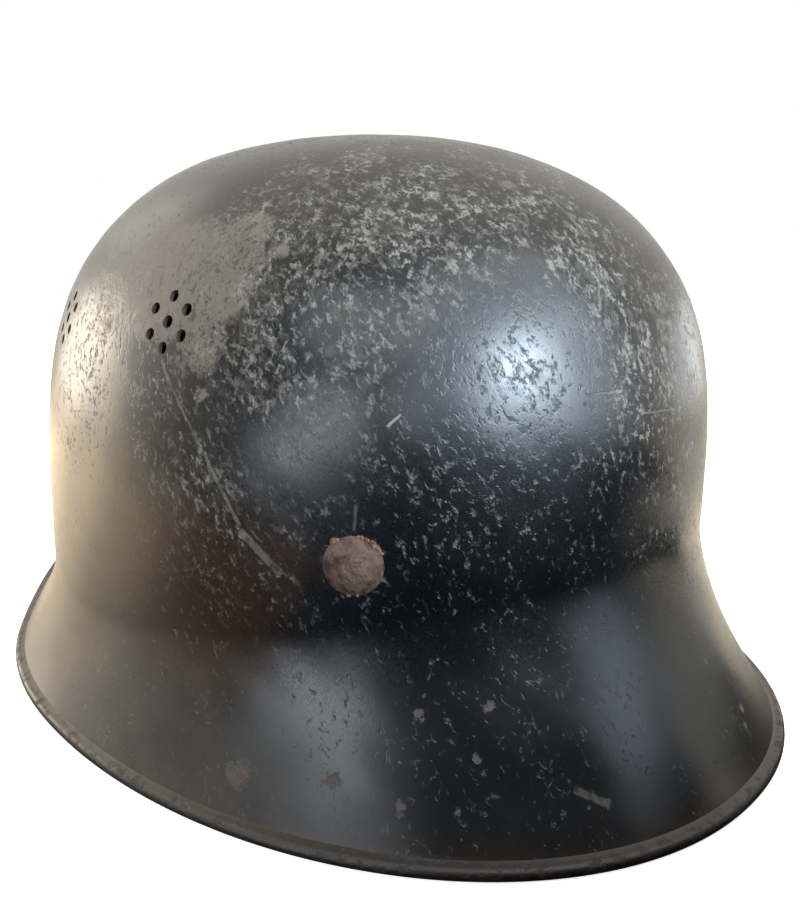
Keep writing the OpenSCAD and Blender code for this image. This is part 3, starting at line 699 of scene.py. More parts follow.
paint = {
    "base": (0.0009, 0.0014, 0.0028),
    "faded": (0.0022, 0.0030, 0.0046),
    "chip": (0.268, 0.236, 0.190),
    "chipBrown": (0.130, 0.098, 0.074),
    "primerDark": (0.1152, 0.08928, 0.06768),
    "primerLight": (0.192, 0.1488, 0.1128),
    "stain": (0.038, 0.017, 0.006),
    "dustAndLightTone": (0.185, 0.150, 0.108),
    "rust": (0.120, 0.074, 0.046),
    "pit": (0.010, 0.011, 0.013),
    "edge": (0.026, 0.016, 0.010),
    "slant": (-0.23, 0.49, -0.835), "stretch": -0.36, "scratchCentre": 60,
    "gloss": 0.225, "skirtMatt": 0.03, "specular": 0.9,
    # noises: scale, detail, roughness, twist
    "micro": (2.1, 2.0, 0.5), "clusters": (0.085, 3.0, 0.6), "flakes": (0.64, 3.4, 0.60, 0.4),
    "cloud": (0.40, 5.0, 0.68, 0.5), "ragged": (0.14, 5.0, 0.66), "grit": (0.62, 4.0, 0.65),
    "streak": (1.6, 3.0, 0.6), "rimWear": (0.30, 5.0, 0.7), "tint": (0.3, 4.0, 0.6),
    "wobble": (0.35, 3.0), "blur": (0.55, 5.0, 0.72),
    # between which values a noise turns into a mark
    "flakeLimits": (0.590, 0.790), "cloudLimits": (0.46, 0.70), "rimLimits": (0.48, 0.60),
    # how far a mark hides the colour, adds to the roughness, and goes down (millimetres)
    "cover": {"stained": 0.85, "dustAndLitSide": 0.36, "worn": 0.85, "marks": 0.66, "edgeWear": 0.8},
    "rough": {"worn": 0.26, "chips": 0.42, "dustAndLitSide": 0.14, "edge": 0.16, "edgeWear": 0.45,
              "streak": 0.10},
    "depth": {"chips": -0.06, "streak": 0.014, "worn": -0.03, "edgeWear": -0.06},
    # centre, reach along x, y, z (millimetres), strength
    "chipped": [((50, 66, 136), (50, 46, 28), 0.80), ((10, 96, 112), (28, 26, 34), 0.66),
                ((78, 58, 112), (18, 30, 26), 0.72), ((88, 40, 84), (16, 34, 36), 0.42),
                ((48, 90, 104), (20, 16, 16), 0.50), ((-6, 108, 84), (20, 12, 36), 0.46),
                ((20, 60, 160), (80, 60, 20), 0.6), ((60, 88, 88), (24, 24, 26), 0.24),
                ((90, -14, 100), (14, 26, 34), 0.6), ((46, 96, 100), (16, 12, 14), 0.7)],
    "pitted": [((46, 96, 100), (24, 20, 24), 1.0), ((100, -14, 92), (16, 26, 44), 1.0)],
    "worn": [((80, 20, 122), (15, 26, 17), 1.0), ((72, 34, 134), (9, 9, 6), 0.8),
             ((86, 34, 107), (8, 9, 7), 0.8), ((86, -4, 120), (20, 18, 18), 0.6)],
    "stained": [((95, 28, 50), (26, 36, 24), 1.0), ((86, 50, 58), (16, 20, 18), 0.7),
                ((92, 34, 36), (24, 34, 14), 0.8)],
    # a dirt film plus painted light: these zones lighten the paint on the left side, where the warm
    # window light falls
    "dustAndLitSide": [((104, -14, 18), (30, 52, 28), 1.0), ((100, 34, 12), (30, 46, 14), 0.6),
              ((97, -14, 64), (18, 30, 60), 0.8), ((84, -10, 128), (26, 26, 22), 0.5)],
    "polished": [((81, 75, 22), (11, 11, 17), 1.0), ((104, -14, 18), (30, 52, 28), 0.7)],
    # scratches: from, to, half width, strength
    "scratches": [
        ((90.1, 22.5, 103.9), (89.2, 39.8, 83.3), 0.45, 0.50),
        ((89.2, 39.8, 83.3), (86.6, 49.5, 68.2), 0.60, 0.60),
        ((86.6, 49.5, 67.0), (82.4, 58.8, 58.1), 1.2, 0.55),
        ((67.0, 77.6, 92.8), (64.9, 79.4, 95.4), 0.45, 1.7),
        ((29.0, 102.5, 98.8), (19.1, 105.2, 99.2), 0.4, 1.3),
        ((13.4, 107.1, 93.4), (-2.2, 108.0, 93.3), 0.25, 0.8),
        ((16.6, 79.2, 143.9), (14.3, 91.1, 133.2), 0.5, 0.45),
        ((14.3, 91.1, 133.2), (21.3, 99.4, 117.3), 0.4, 0.45),
        ((74.5, 65.6, 99.5), (70.0, 71.9, 100.2), 0.22, 0.4),
        ((45.4, 116.0, 13.8), (39.8, 121.7, 10.3), 0.8, 0.5),
        ((72.4, 73.4, 75.4), (72.8, 73.2, 69.7), 0.5, 0.4),
    ],
    # spots: place, reach, brown share
    "spots": [
        ((28.0, 98.0, 115.8), 0.9, 0.0), ((42.1, 99.0, 80.3), 0.6, 0.0),
        ((58.3, 86.9, 89.8), 0.6, 0.0), ((94.1, 56.9, 11.5), 3.4, 0.9),
        ((54.8, 98.8, 30.5), 1.4, 0.4), ((82.6, 77.4, 14.6), 1.8, 0.9),
        ((60.3, 100.1, 20.9), 1.1, 0.6), ((75.1, 91.2, 11.8), 1.2, 0.5),
        ((67.1, 100.9, 11.5), 1.0, 0.2), ((71.2, 46.9, 129.6), 2.2, 0.3),
        ((87.9, 37.8, 96.9), 1.8, 0.2), ((24.3, 73.7, 145.9), 3.0, 0.2),
        ((66.6, 88.5, 28.9), 1.3, 0.8), ((-17.6, 126.8, 13.2), 1.2, 0.1),
        ((-14.4, 129.2, 10.6), 1.0, 0.1), ((-9.6, 119.2, 27.1), 1.1, 0.1),
    ],
}


def spread(points, blobs, edge=0.45):
    total = np.zeros(len(points))
    for centre, reach, strength in blobs:
        distance = np.linalg.norm((points - np.array(centre)) / np.array(reach), axis=1)
        total = np.maximum(total, strength * soft((1 + edge - distance) / (2 * edge)))
    return total


def addAttribute(thing, name, values):
    layer = thing.data.attributes.new(name, "FLOAT", "POINT")
    layer.data.foreach_set("value", np.asarray(values, np.float32))


def meshPoints(thing):
    points = np.zeros(len(thing.data.vertices) * 3)
    thing.data.vertices.foreach_get("co", points)
    return points.reshape(-1, 3) / millimetre


def paintZones(thing):
    p = meshPoints(thing)
    x, y, z = p.T
    a = np.arctan2(x, middleY - y)
    nearRim = 0.6 * soft((13 - z + rimZ(a)) / 12)
    underWaist = soft((waistZ(a) + 6 - z) / 14)
    farSide = 0.55 * soft((-x - y) / 60) * soft((z - 60) / 60)
    chipped = np.maximum(0.08 + spread(p, paint["chipped"], 0.6), farSide)
    flare = soft((waistZ(a) - 8 - z) / 14)
    toRim = np.hypot(np.hypot(x, y - middleY) - oval(a, shellShape["rim"]), z - rimZ(a))
    for name, values in {
            "worn": spread(p, paint["worn"]),
            "stained": np.maximum(spread(p, paint["stained"], 0.6), nearRim),
            # a dirt film plus painted light on the window-lit left side
            "dustAndLitSide": spread(p, paint["dustAndLitSide"], 0.75),
            "pitted": spread(p, paint["pitted"], 0.5),
            "chipped": chipped * (1 - 0.85 * underWaist),
            "matt": flare * (1 - spread(p, paint["polished"], 0.5)),
            "edge": soft((3.0 - toRim) / 1.6)}.items():
        addAttribute(thing, name, values)


def scratchMask(place, start, end, width, wobble):
    start, end = Vector(start), Vector(end)
    middle = (start + end) / 2
    length = (end - start).length
    along = (end - start).normalized()
    plane = along.cross(middle - Vector((0, middleY, paint["scratchCentre"]))).normalized()
    local = vectors("SUBTRACT", place, tuple(middle))
    across = abs(vectors("DOT_PRODUCT", local, tuple(plane)) + wobble)
    run = abs(vectors("DOT_PRODUCT", local, tuple(along)))
    line = step(across, width * 0.5, width, 1.0, 0.0)
    ends = step(run, length * 0.5 - 0.5, length * 0.5 + 0.5, 1.0, 0.0)
    near = step(vectors("LENGTH", local), length, length + 8, 1.0, 0.0)
    return line * ends * near


def chipMask(place, drawn, chipped, clusters, micro):
    flakes = noise(drawn, *paint["flakes"]) + (micro - 0.5) * 0.28
    flakes = flakes + (clusters - 0.5) * 0.24 + chipped * 0.15
    chips = step(flakes, *paint["flakeLimits"]) * step(micro, 0.30, 0.65, 0.50, 1.0)
    cloud = noise(drawn, *paint["cloud"]) + (clusters - 0.5) * 0.40
    haze = step(cloud, *paint["cloudLimits"]) * step(chipped, 0.20, 0.90, 0.0, 0.32)
    # single small nicks
    distance, chance = cells(drawn, 0.42)
    chosen = step(chance.then("ShaderNodeSeparateColor", {0: chance}), 0.70, 0.72)
    nicks = chosen * step(distance, 0.10, 0.24, 1, 0) * step(noise(place, 0.9, 3.0), 0.44, 0.54)
    nicks = nicks * step(chipped, 0.0, 0.5, 0.25, 0.55)
    return larger(larger(chips, haze), nicks)


def markMasks(place, grit):
    wobble = (noise(place, *paint["wobble"]) - 0.5) * 1.1
    scratches = largest([scratchMask(place, start, end, width, wobble) * strength
                         for start, end, width, strength in paint["scratches"]])
    scratches = scratches * step(grit, 0.36, 0.50, 0.35, 1.0)
    blur = (noise(place, *paint["blur"]) - 0.5) * 3.2
    spots, rusty = [], []
    for centre, reach, brown in paint["spots"]:
        spots.append(step(vectors("DISTANCE", place, centre) / reach + blur, 0.30, 1.05, 1, 0))
        rusty.append(spots[-1] * brown)
    return larger(scratches, largest(spots)), largest(rusty)


def paintMaterial():
    material, place = newMaterial("wornBlackPaint")
    # chips run slantwise down the dome
    slant = tuple(Vector(paint["slant"]).normalized())
    lengthwise = vectors("DOT_PRODUCT", place, slant)
    drawn = vectors("ADD", place, scaled(slant, lengthwise * paint["stretch"]))
    micro = noise(drawn, *paint["micro"])
    clusters = noise(place, *paint["clusters"])
    chipped = attribute(place, "chipped")
    chips = chipMask(place, drawn, chipped, clusters, micro)
    # worn and stained zones, and zones of a dirt film plus painted light on the window-lit left
    # side, all with ragged edges
    ragged = noise(drawn, *paint["ragged"])
    grit = noise(drawn, *paint["grit"])
    wide = ragged - 0.5
    worn = step(attribute(place, "worn") + (wide * 1.3 + (grit - 0.5) * 1.5), 0.40, 0.80)
    worn = worn * step(grit + micro * 0.3, 0.66, 0.76, 1.0, 0.30)
    stained = step(attribute(place, "stained") + wide * 0.7, 0.20, 1.0)
    dustAndLitSide = attribute(place, "dustAndLitSide") * step(ragged, 0.30, 0.75, 0.65, 1.0)
    marks, rusty = markMasks(place, grit)
    chips = larger(chips, marks, clamp=True)
    # the rolled edge loses its paint first
    edge = attribute(place, "edge")
    edgeWear = edge * step(noise(place, *paint["rimWear"]), *paint["rimLimits"])
    # colours
    cover = paint["cover"]
    colour = mix(step(clusters, 0.35, 0.65), paint["base"], paint["faded"])
    colour = mix(stained * cover["stained"], colour, paint["stain"])
    # a dirt film plus painted light: a warm grey over the lit left side
    colour = mix(dustAndLitSide * cover["dustAndLitSide"], colour, paint["dustAndLightTone"])
    primer = mix(noise(place, *paint["tint"]), paint["primerDark"], paint["primerLight"])
    colour = mix(worn * cover["worn"], colour, primer)
    chipColour = mix(step(noise(place, 0.12, 3.0), 0.40, 0.62), paint["chip"], paint["chipBrown"])
    chipColour = mix(attribute(place, "pitted"), chipColour, paint["pit"])
    chipColour = mix(rusty, chipColour, paint["rust"])
    shown = larger(chips * step(chipped, 0.15, 0.75, 0.32, 0.84), marks * cover["marks"])
    colour = mix(shown, colour, chipColour)
    colour = mix(edgeWear * cover["edgeWear"], colour, paint["edge"])
    # roughness
    marked = {"worn": worn, "chips": chips, "dustAndLitSide": dustAndLitSide, "edge": edge, "edgeWear": edgeWear}
    streak = noise(drawn, *paint["streak"])
    flare = attribute(place, "matt") * (step(ragged, 0.30, 0.70, 0.8, 1.1) * paint["skirtMatt"])
    matt = largest([value * paint["rough"][name] for name, value in marked.items()])
    rough = streak * paint["rough"]["streak"] + paint["gloss"] + flare + matt
    depth = paint["depth"]
    height = chips * depth["chips"] + streak * depth["streak"]
    height = height + worn * depth["worn"] + edgeWear * depth["edgeWear"]
    return finish(material, colour, rough, height, specular=paint["specular"])


# patches: colour, noise, limits; rough: noise, limits, values there; bumps: noise, depth
insideLook = {
    "ground": (0.020, 0.021, 0.022),
    "patches": [((0.060, 0.042, 0.030), (0.09, 6.0, 0.65), (0.42, 0.62)),
                ((0.12, 0.07, 0.04), (0.4, 4.0, 0.7), (0.62, 0.72))],
    "rough": [(0.09, 6.0, 0.65), (0.3, 0.7), (0.45, 0.8)], "bumps": [((0.8, 4.0), 0.06)],
}
rust = [(0.048, 0.026, 0.016), (0.134, 0.080, 0.058), (0.190, 0.128, 0.098),
        (0.250, 0.095, 0.034)]
crumbRust = [(0.105, 0.052, 0.030), (0.210, 0.110, 0.062), (0.330, 0.230, 0.170),
             (0.390, 0.135, 0.036)]
holeRust = [tuple(0.6 * part for part in colour) for colour in rust]


def rustLook(colours):
    dark, light, pale, orange = colours
    return {
        "ground": dark,
        "patches": [(light, (0.30, 5.0, 0.65, 0.6), (0.36, 0.62)),
                    (pale, (1.7, 5.0, 0.7), (0.55, 0.72)),
                    (orange, (0.5, 4.0, 0.6), (0.60, 0.70))],
        "rough": [(1.7, 5.0, 0.7), (0.3, 0.7), (0.72, 0.95)],
        "bumps": [((1.7, 5.0, 0.7), 0.22), ((0.30, 5.0, 0.65, 0.6), 0.35)],
    }


# colours over the ground, each where its noise passes its limits
def layered(place, look):
    colour = look["ground"]
    for above, noises, limits in look["patches"]:
        colour = mix(step(noise(place, *noises), *limits), colour, above)
    return colour


def patchedMaterial(name, look):
    material, place = newMaterial(name)
    rough = look["rough"]
    if not isinstance(rough, float):
        noises, limits, values = rough
        rough = step(noise(place, *noises), *limits, *values)
    bumps = [noise(place, *noises) * depth for noises, depth in look["bumps"]]
    return finish(material, layered(place, look), rough, sum(bumps[1:], bumps[0]))


wornPaint = paintMaterial()
insidePaint = patchedMaterial("insidePaint", insideLook)
rustyEdge = patchedMaterial("rustyEdge", rustLook(holeRust))
rustyIron = patchedMaterial("rustyIron", rustLook(rust))
rustCrumbs = patchedMaterial("rustCrumbs", rustLook(crumbRust))

shellFinishes = [wornPaint, insidePaint, rustyEdge]
shell = makeShell(shellFinishes)
print("shell skin made:", len(shell.data.polygons), "faces")
cut(shell, makeHoleCutters(shellFinishes))
shell.data.shade_smooth()
shell.data.set_sharp_from_angle(angle=math.radians(32))
paintZones(shell)
dress(shell, "helmet", "shell")
print("shell holes cut:", len(shell.data.polygons), "faces")


def metalMaterial(name, look):
    material, place = newMaterial(name)
    grain = noise(place, 1.9, 4.0, 0.65)
    rusty = step(noise(place, 0.21, 6.0, 0.7), look["rustFrom"], look["rustFrom"] + 0.09)
    rough = grain * 0.22 + look["rough"] + rusty * 0.3
    shine = rusty.maths("SUBTRACT", look["metallic"], rusty * 0.7, clamp=True)
    return finish(material, mix(rusty, layered(place, look), look["rust"]), rough,
                  grain * 0.03 + rusty * 0.05, shine)


zincBand = metalMaterial("dullZinc", {
    "ground": (0.30, 0.31, 0.30), "rust": (0.20, 0.11, 0.06),
    "patches": [((0.46, 0.46, 0.44), (0.35, 5.0, 0.6, 0.4), (0.35, 0.65))],
    "rustFrom": 0.60, "rough": 0.34, "metallic": 0.85})
springSteel = metalMaterial("darkSteel", {
    "ground": (0.16, 0.16, 0.165), "rust": (0.17, 0.09, 0.05),
    "patches": [((0.30, 0.29, 0.28), (0.5, 5.0, 0.6, 0.4), (0.35, 0.65))],
    "rustFrom": 0.57, "rough": 0.30, "metallic": 0.9})


def makeCrumb(centre, axes, size):
    profile = [(-0.5, 0.35), (-0.2, 0.80), (0.15, 0.95), (0.45, 0.75), (0.68, 0.35), (0.75, 0.05)]
    points, faces = lathe([(x * size, r * size) for x, r in profile], centre, axes, 16)
    lifts = roughen(points, 0.55, 0.7)
    return [centre + (point - centre) * (1 + lift) for point, lift in zip(points, lifts)], faces


def makePin(node, angle, rough, crumbs):
    p = linerPins
    place, axes, depth = pinAxes(angle)
    out, sideways, upward = axes
    # the head is a low cap of a ball
    ball = (p["headRadius"] ** 2 + p["headHeight"] ** 2) / (2 * p["headHeight"])
    centreAt = bands["seat"] + p["headHeight"] - ball
    profile = p["edge"] + [(centreAt + math.sqrt(ball ** 2 - r * r), r)
                           for r in np.linspace(*p["capRows"]).tolist()]
    points, faces = lathe(profile, place, axes, p["headSides"])
    lifts = roughen(points, rough, p["crust"])
    points = [point + (out * lift if (point - place).dot(out) > 0.2 else Vector())
              for point, lift in zip(points, lifts)]
    parts = [(points, faces)]
    inner = -depth - p["washerGap"] - p["washerThick"] - p["legThick"]
    # each half of the split shank, and the leg that it bends into
    for side in (1, -1):
        ring = [(side * p["slit"] / 2, -p["shank"] + 0.02)]
        for k in range(17):
            t = math.pi * k / 16
            ring.append((side * max(p["slit"] / 2, p["shank"] * math.sin(t)),
                         -p["shank"] * math.cos(t)))
        more = [place + x * out + y * sideways + z * upward for x in (inner, 0.6) for y, z in ring]
        parts.append((more, gridFaces(2, len(ring)) + endFaces(len(ring), len(more))))
        more = []
        for y in np.linspace(p["slit"] / 2 + p["legStart"], p["leg"], p["legRows"]).tolist():
            left = (p["leg"] + 0.1 - y) / p["legRound"]
            half = p["legWidth"] / 2 * min(1, math.sqrt(max(0.15, left)))
            for u, v in roundedSection(2 * half, p["legThick"] - 0.1, 0.3, 2):
                x = inner + 0.45 + v + p["legBend"][0] * math.sin(y / p["legBend"][1] + angle)
                more.append(place + x * out + side * y * sideways + u * upward)
        count = len(more) // p["legRows"]
        parts.append((more, gridFaces(p["legRows"], count) + endFaces(count, len(more))))
    plain = sum(len(shape) for more, shape in parts)
    for turn, reach, size in crumbs:
        t = math.radians(turn)
        centre = place + 0.3 * out + reach * (math.cos(t) * sideways + math.sin(t) * upward)
        parts.append(makeCrumb(centre, axes, size))
    thing = joined(node + "_rusted", parts, [rustyIron, rustCrumbs])
    paintFaces(thing, 1, plain)
    dress(thing, "helmet", node)


# roughness, and rust crumbs at the head's edge: turn, distance from the middle, size
pinWear = {
    "pin_rear_left": (0.20, [(80, 6.8, 0.5), (73, 6.9, 0.6), (66, 7.0, 0.5), (60, 6.7, 0.7),
                             (53, 7.0, 0.8), (46, 6.6, 0.7), (40, 7.1, 0.8), (33, 6.9, 0.6),
                             (27, 7.1, 0.5), (56, 6.1, 0.4), (44, 6.0, 0.4), (122, 6.9, 0.6),
                             (128, 7.1, 0.7), (134, 7.0, 0.4), (262, 7.0, 0.5), (278, 6.9, 0.4)]),
    "pin_rear_right": (0.16, [(110, 6.9, 0.8), (121, 7.0, 0.6), (260, 7.0, 0.7)]),
    "pin_front_left": (0.12, [(95, 6.9, 0.7), (104, 7.0, 0.6)]),
    "pin_front_right": (0.14, [(60, 6.9, 0.8), (300, 7.0, 0.6)]),
}
for node, angle in zip(("pin_front_left", "pin_front_right", "pin_rear_left", "pin_rear_right"),
                       linerPins["angles"]):
    makePin(node, angle, *pinWear[node])


def ringLine(inset, z, count=240):
    a = np.linspace(0, 2 * np.pi, count, endpoint=False)
    h = heading(a)
    normals = np.stack([np.cos(h), np.sin(h), 0 * h], -1)
    return around(a, bandR(a, inset), z), normals


def makeBand(node):
    s = bands[node]
    places, normals = ringLine(s["inset"] + s["thick"] / 2, s["bottom"] + s["height"] / 2)
    sides = np.tile([0, 0, 1.0], (len(places), 1))
    thing = sweep(node + "_strip", places, normals, sides, s["height"], s["thick"],
                  bands["edgeRadius"], [zincBand])
    if node == "outer_band":
        seats = [(place, axes, -depth - 2, -depth + 2)
                 for place, axes, depth in map(pinAxes, linerPins["angles"])]
        drill(thing, seats, linerPins["hole"], linerPins["holeSides"], zincBand)
        tidyNormals(thing, 50)
    dress(thing, "helmet", node)


makeBand("outer_band")
makeBand("inner_band")

# the small parts keep their solids and get these metals
zincNodes = ("pin_washers", "bracket_left", "bracket_right")
steelNodes = ("spring_front", "spring_front_left", "spring_front_right", "spring_rear_left",
              "spring_rear_right", "spring_rear", "outer_spring_rivets", "inner_spring_rivets",
              "bracket_rivets", "pivot_left", "pivot_right", "bale_left", "bale_right",
              "stud_left", "stud_right", "buckle_frame", "buckle_roller", "buckle_tongue")
for nodes, metal in ((zincNodes, zincBand), (steelNodes, springSteel)):
    for node in nodes:
        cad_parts[node].data.materials.clear()
        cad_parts[node].data.materials.append(metal)
print("pins, bands and small steel parts made")


linerShape = {
    "thick": 1.6, "flapInset": 10.1, "flapTop": 55.0, "foldInset": 11.85, "foldRadius": 1.75,
    "foldZ": 49.5, "inset": 13.6, "sweatTop": 75.0, "tipHeight": 139.0, "tipRadius": 28.0,
    "fingers": 8, "cells": 18, "rows": 30, "baseHalf": 21.5, "narrow": 17.63, "tipRound": 0.1,
    "holeAt": 0.9, "holeRadius": 2.8, "holeSides": 32, "wave": 0.28,
}
laceShape = {"radius": 1.2, "swing": 2.45, "soft": 0.02, "rings": 480, "sides": 18, "twist": 62}
linerLook = {
    "ground": (0.155, 0.082, 0.036), "stain": (0.070, 0.040, 0.022),
    "patches": [((0.235, 0.132, 0.062), (0.06, 4.0, 0.6, 0.5), (0.32, 0.68)),
                ((0.30, 0.19, 0.10), (0.7, 5.0, 0.65), (0.56, 0.74))],
    "fine": (0.7, 5.0, 0.65), "rough": 0.42,
    "crease": (0.32, 4.0, 0.6, 1.2), "creaseStretch": (1, 1, 3.2),
}


def linerMaterial():
    look = linerLook
    material, place = newMaterial("linerLeather")
    stain = step(noise(place, 0.11, 5.0, 0.7), 0.55, 0.68)
    colour = mix(stain * 0.6, layered(place, look), look["stain"])
    pores = cells(place, 1.25)[0]
    level = place.then("ShaderNodeMapping", {0: place, "Scale": look["creaseStretch"]})
    return finish(material, colour, noise(place, *look["fine"]) * 0.3 + look["rough"],
                  pores * 0.07 + noise(level, *look["crease"]) * 0.22)


def fingerRZ(a, v):
    s = linerShape
    base = bandR(a, s["inset"])
    turn = np.arccos(s["tipRadius"] / base)
    return base * np.cos(v * turn), s["sweatTop"] + (s["tipHeight"] - s["sweatTop"]) * np.sin(
        v * turn) / np.sin(turn)


def fingerOut(a, v):
    r0, z0 = fingerRZ(a, v - 0.01)
    r1, z1 = fingerRZ(a, v + 0.01)
    length = np.hypot(r1 - r0, z1 - z0)
    return (z1 - z0) / length, -(r1 - r0) / length


# one sheet: a flap behind the band, the fold under it, the sweatband, and the fingers above
def makeLeather(material):
    s = linerShape
    columns = s["cells"] + 1
    x = np.linspace(-1, 1, columns)
    starts = np.radians(np.arange(s["fingers"]) * 360 / s["fingers"])
    a = (starts[:, None] + np.radians(s["baseHalf"]) * x[None, :]).reshape(-1)
    rows = [(bandR(a, s["flapInset"]), z) for z in np.linspace(s["flapTop"], s["foldZ"], 5)]
    for t in np.linspace(0, np.pi, 9)[1:-1]:
        rows.append((bandR(a, s["foldInset"] - s["foldRadius"] * math.cos(t)),
                     s["foldZ"] - s["foldRadius"] * math.sin(t)))
    rows += [(bandR(a, s["inset"]), z) for z in np.linspace(s["foldZ"], s["sweatTop"], 14)]
    points = [around(a, r, z) for r, z in rows]
    ring = len(points)
    width = len(a)
    faces = gridFaces(ring, width)
    points = [point for row in points for point in row]
    last = (ring - 1) * width
    for f in range(s["fingers"]):
        above = [last + f * columns + j for j in range(columns)]
        for k in range(1, s["rows"] + 1):
            v = k / s["rows"] * (1 - s["tipRound"] * np.abs(x) ** 3)
            half = s["narrow"] + (s["baseHalf"] - s["narrow"]) * (1 - np.minimum(v * 4, 1)) ** 2
            turn = starts[f] + x * np.radians(half)
            r, z = fingerRZ(turn, v)
            first = len(points)
            points.extend(around(turn, r, z))
            row = [first + j for j in range(columns)]
            faces += [(above[j], above[j + 1], row[j + 1], row[j]) for j in range(columns - 1)]
            above = row
    points = np.array(points)
    height = soft((points[:, 2] - 70) / 12)
    middle = np.array([0, middleY, 60.0])
    inward = middle - points
    inward /= np.linalg.norm(inward, axis=1)[:, None]
    waves = np.array(roughen(points, s["wave"], 16)) * height
    points = points + inward * waves[:, None]
    thing = meshObject("leather_sewn", points, faces, [material])
    tidyNormals(thing, 180)
    solid = thing.modifiers.new("thickness", "SOLIDIFY")
    solid.thickness = s["thick"] * millimetre
    solid.offset = 0
    smoother = thing.modifiers.new("smooth", "SUBSURF")
    smoother.levels = smoother.render_levels = 1
    applyModifiers(thing)
    seats = []
    for turn in starts:
        r, z = fingerRZ(turn, s["holeAt"])
        dr, dz = fingerOut(turn, s["holeAt"])
        out = Vector((dr * math.sin(turn), -dr * math.cos(turn), dz))
        sideways = Vector((math.cos(turn), math.sin(turn), 0))
        place = Vector(around(turn, r, z).tolist())
        seats.append((place, (out, sideways, out.cross(sideways)), -5, 5))
    drill(thing, seats, s["holeRadius"], s["holeSides"], material)
    tidyNormals(thing, 60)
    dress(thing, "helmet", "leather_liner")


def makeLace(material):
    s = laceShape
    a = np.linspace(0, 2 * np.pi, s["rings"], endpoint=False)

    def line(angle):
        wave = np.sin(angle * linerShape["fingers"] / 2)
        lift = s["swing"] * wave / np.sqrt(wave ** 2 + s["soft"])
        r, z = fingerRZ(angle, linerShape["holeAt"])
        dr, dz = fingerOut(angle, linerShape["holeAt"])
        return around(angle, r + lift * dr, z + lift * dz)

    places = line(a)
    ahead = line(a + 0.01) - line(a - 0.01)
    tangents = ahead / np.linalg.norm(ahead, axis=1)[:, None]
    acrossWay = np.cross(tangents, [0, 0, 1.0])
    acrossWay /= np.linalg.norm(acrossWay, axis=1)[:, None]
    over = np.cross(acrossWay, tangents)
    points = []
    for i in range(s["rings"]):
        for k in range(s["sides"]):
            t = 2 * math.pi * k / s["sides"]
            lobe = abs(math.cos(1.5 * (t - s["twist"] * 2 * math.pi * i / s["rings"] / 3 * 2)))
            r = s["radius"] * (0.78 + 0.24 * lobe)
            points.append(places[i] + r * (math.cos(t) * acrossWay[i] + math.sin(t) * over[i]))
    faces = gridFaces(s["rings"], s["sides"]) + seamFaces(s["sides"], len(points) - s["sides"])
    thing = meshObject("lace_twisted", points, faces, [material])
    tidyNormals(thing, 80)
    dress(thing, "helmet", "crown_lace")


makeLeather(linerMaterial())
makeLace(patchedMaterial("cottonCord", {
    "ground": (0.42, 0.37, 0.27),
    "patches": [((0.26, 0.21, 0.14), (0.09, 4.0, 0.6), (0.38, 0.62))],
    "rough": 0.9, "bumps": [((2.6, 4.0, 0.7, 1.0), 0.18)]}))
print("leather liner and lace made")


# the strap is drawn hanging from its pivot and then turned back into the shell
strapShape = {
    "baleX": 91.591, "width": 16.0, "thick": 1.8, "drop": 20.0, "cheekRadius": 85.0,
    "cheekTurn": math.radians(41), "jaw": 38.0, "chinRadius": 60.70, "buckleAt": 104.825,
    "tipEnd": 213.65, "bar": 11.6, "taper": 8.4, "lap": 13.0, "foldMiddle": 2.1,
    "pivotHeight": 41.0, "stow": math.radians(75.5), "slotWidth": 3.6, "slotReach": 7.0,
    "holes": 6, "holeStep": 12.0, "holeFirst": 16.0, "holeRadius": 1.6, "holeSides": 28,
    "tipHalf": 2.5, "tipSlope": math.tan(math.radians(35)), "tipRound": 0.4,
    "edgeRadius": 0.5, "edgeWave": (0.16, 9),
    "keeperPlace": 16.5, "keeperInside": (4.2, 16.6), "keeperWall": 1.2, "keeperWidth": 6.0,
    "keeperCorner": 1.1, "keeperSteps": 8, "keeperEdge": 0.4,
}


# where the strap's middle runs, by length from the pivot: down, round the cheek, the jaw, the chin
def strapLine(l):
    s = strapShape
    drop, turn = s["drop"], s["cheekTurn"]
    cheek = s["cheekRadius"] * turn
    x, z = s["baleX"], -l
    if l <= drop:
        return x, z, 0.0
    t = min(l - drop, cheek) / s["cheekRadius"]
    x -= s["cheekRadius"] * (1 - math.cos(t))
    z = -drop - s["cheekRadius"] * math.sin(t)
    if l <= drop + cheek:
        return x, z, t
    run = min(l - drop - cheek, s["jaw"])
    x -= run * math.sin(turn)
    z -= run * math.cos(turn)
    if l <= drop + cheek + s["jaw"]:
        return x, z, turn
    t = (l - drop - cheek - s["jaw"]) / s["chinRadius"]
    x -= s["chinRadius"] * (math.cos(turn) - math.cos(turn + t))
    z -= s["chinRadius"] * (math.sin(turn + t) - math.sin(turn))
    return x, z, turn + t


def strapPoint(l, e):
    x, z, h = strapLine(l)
    return x + e * math.cos(h), z - e * math.sin(h)


def foldPoints(l, closed, start, end, count=13):
    s = strapShape
    x, z = strapPoint(l, 0)
    h = strapLine(l)[2]
    points = []
    for t in np.radians(np.linspace(start, end, count)):
        c, d = s["foldMiddle"] * math.cos(t), closed * s["foldMiddle"] * math.sin(t)
        points.append((x + c * math.cos(h) + d * math.sin(h),
                       z - c * math.sin(h) + d * math.cos(h)))
    return points


# one layer of leather from length l0 to l1, lying e0 to e1 off the strap's middle
def layer(l0, e0, l1, e1, gap=1.4):
    count = max(2, int(abs(l1 - l0) / gap) + 1)
    return [strapPoint(l0 + (l1 - l0) * k / count,
                       e0 + (e1 - e0) * float(soft(k / count))) for k in range(count)]


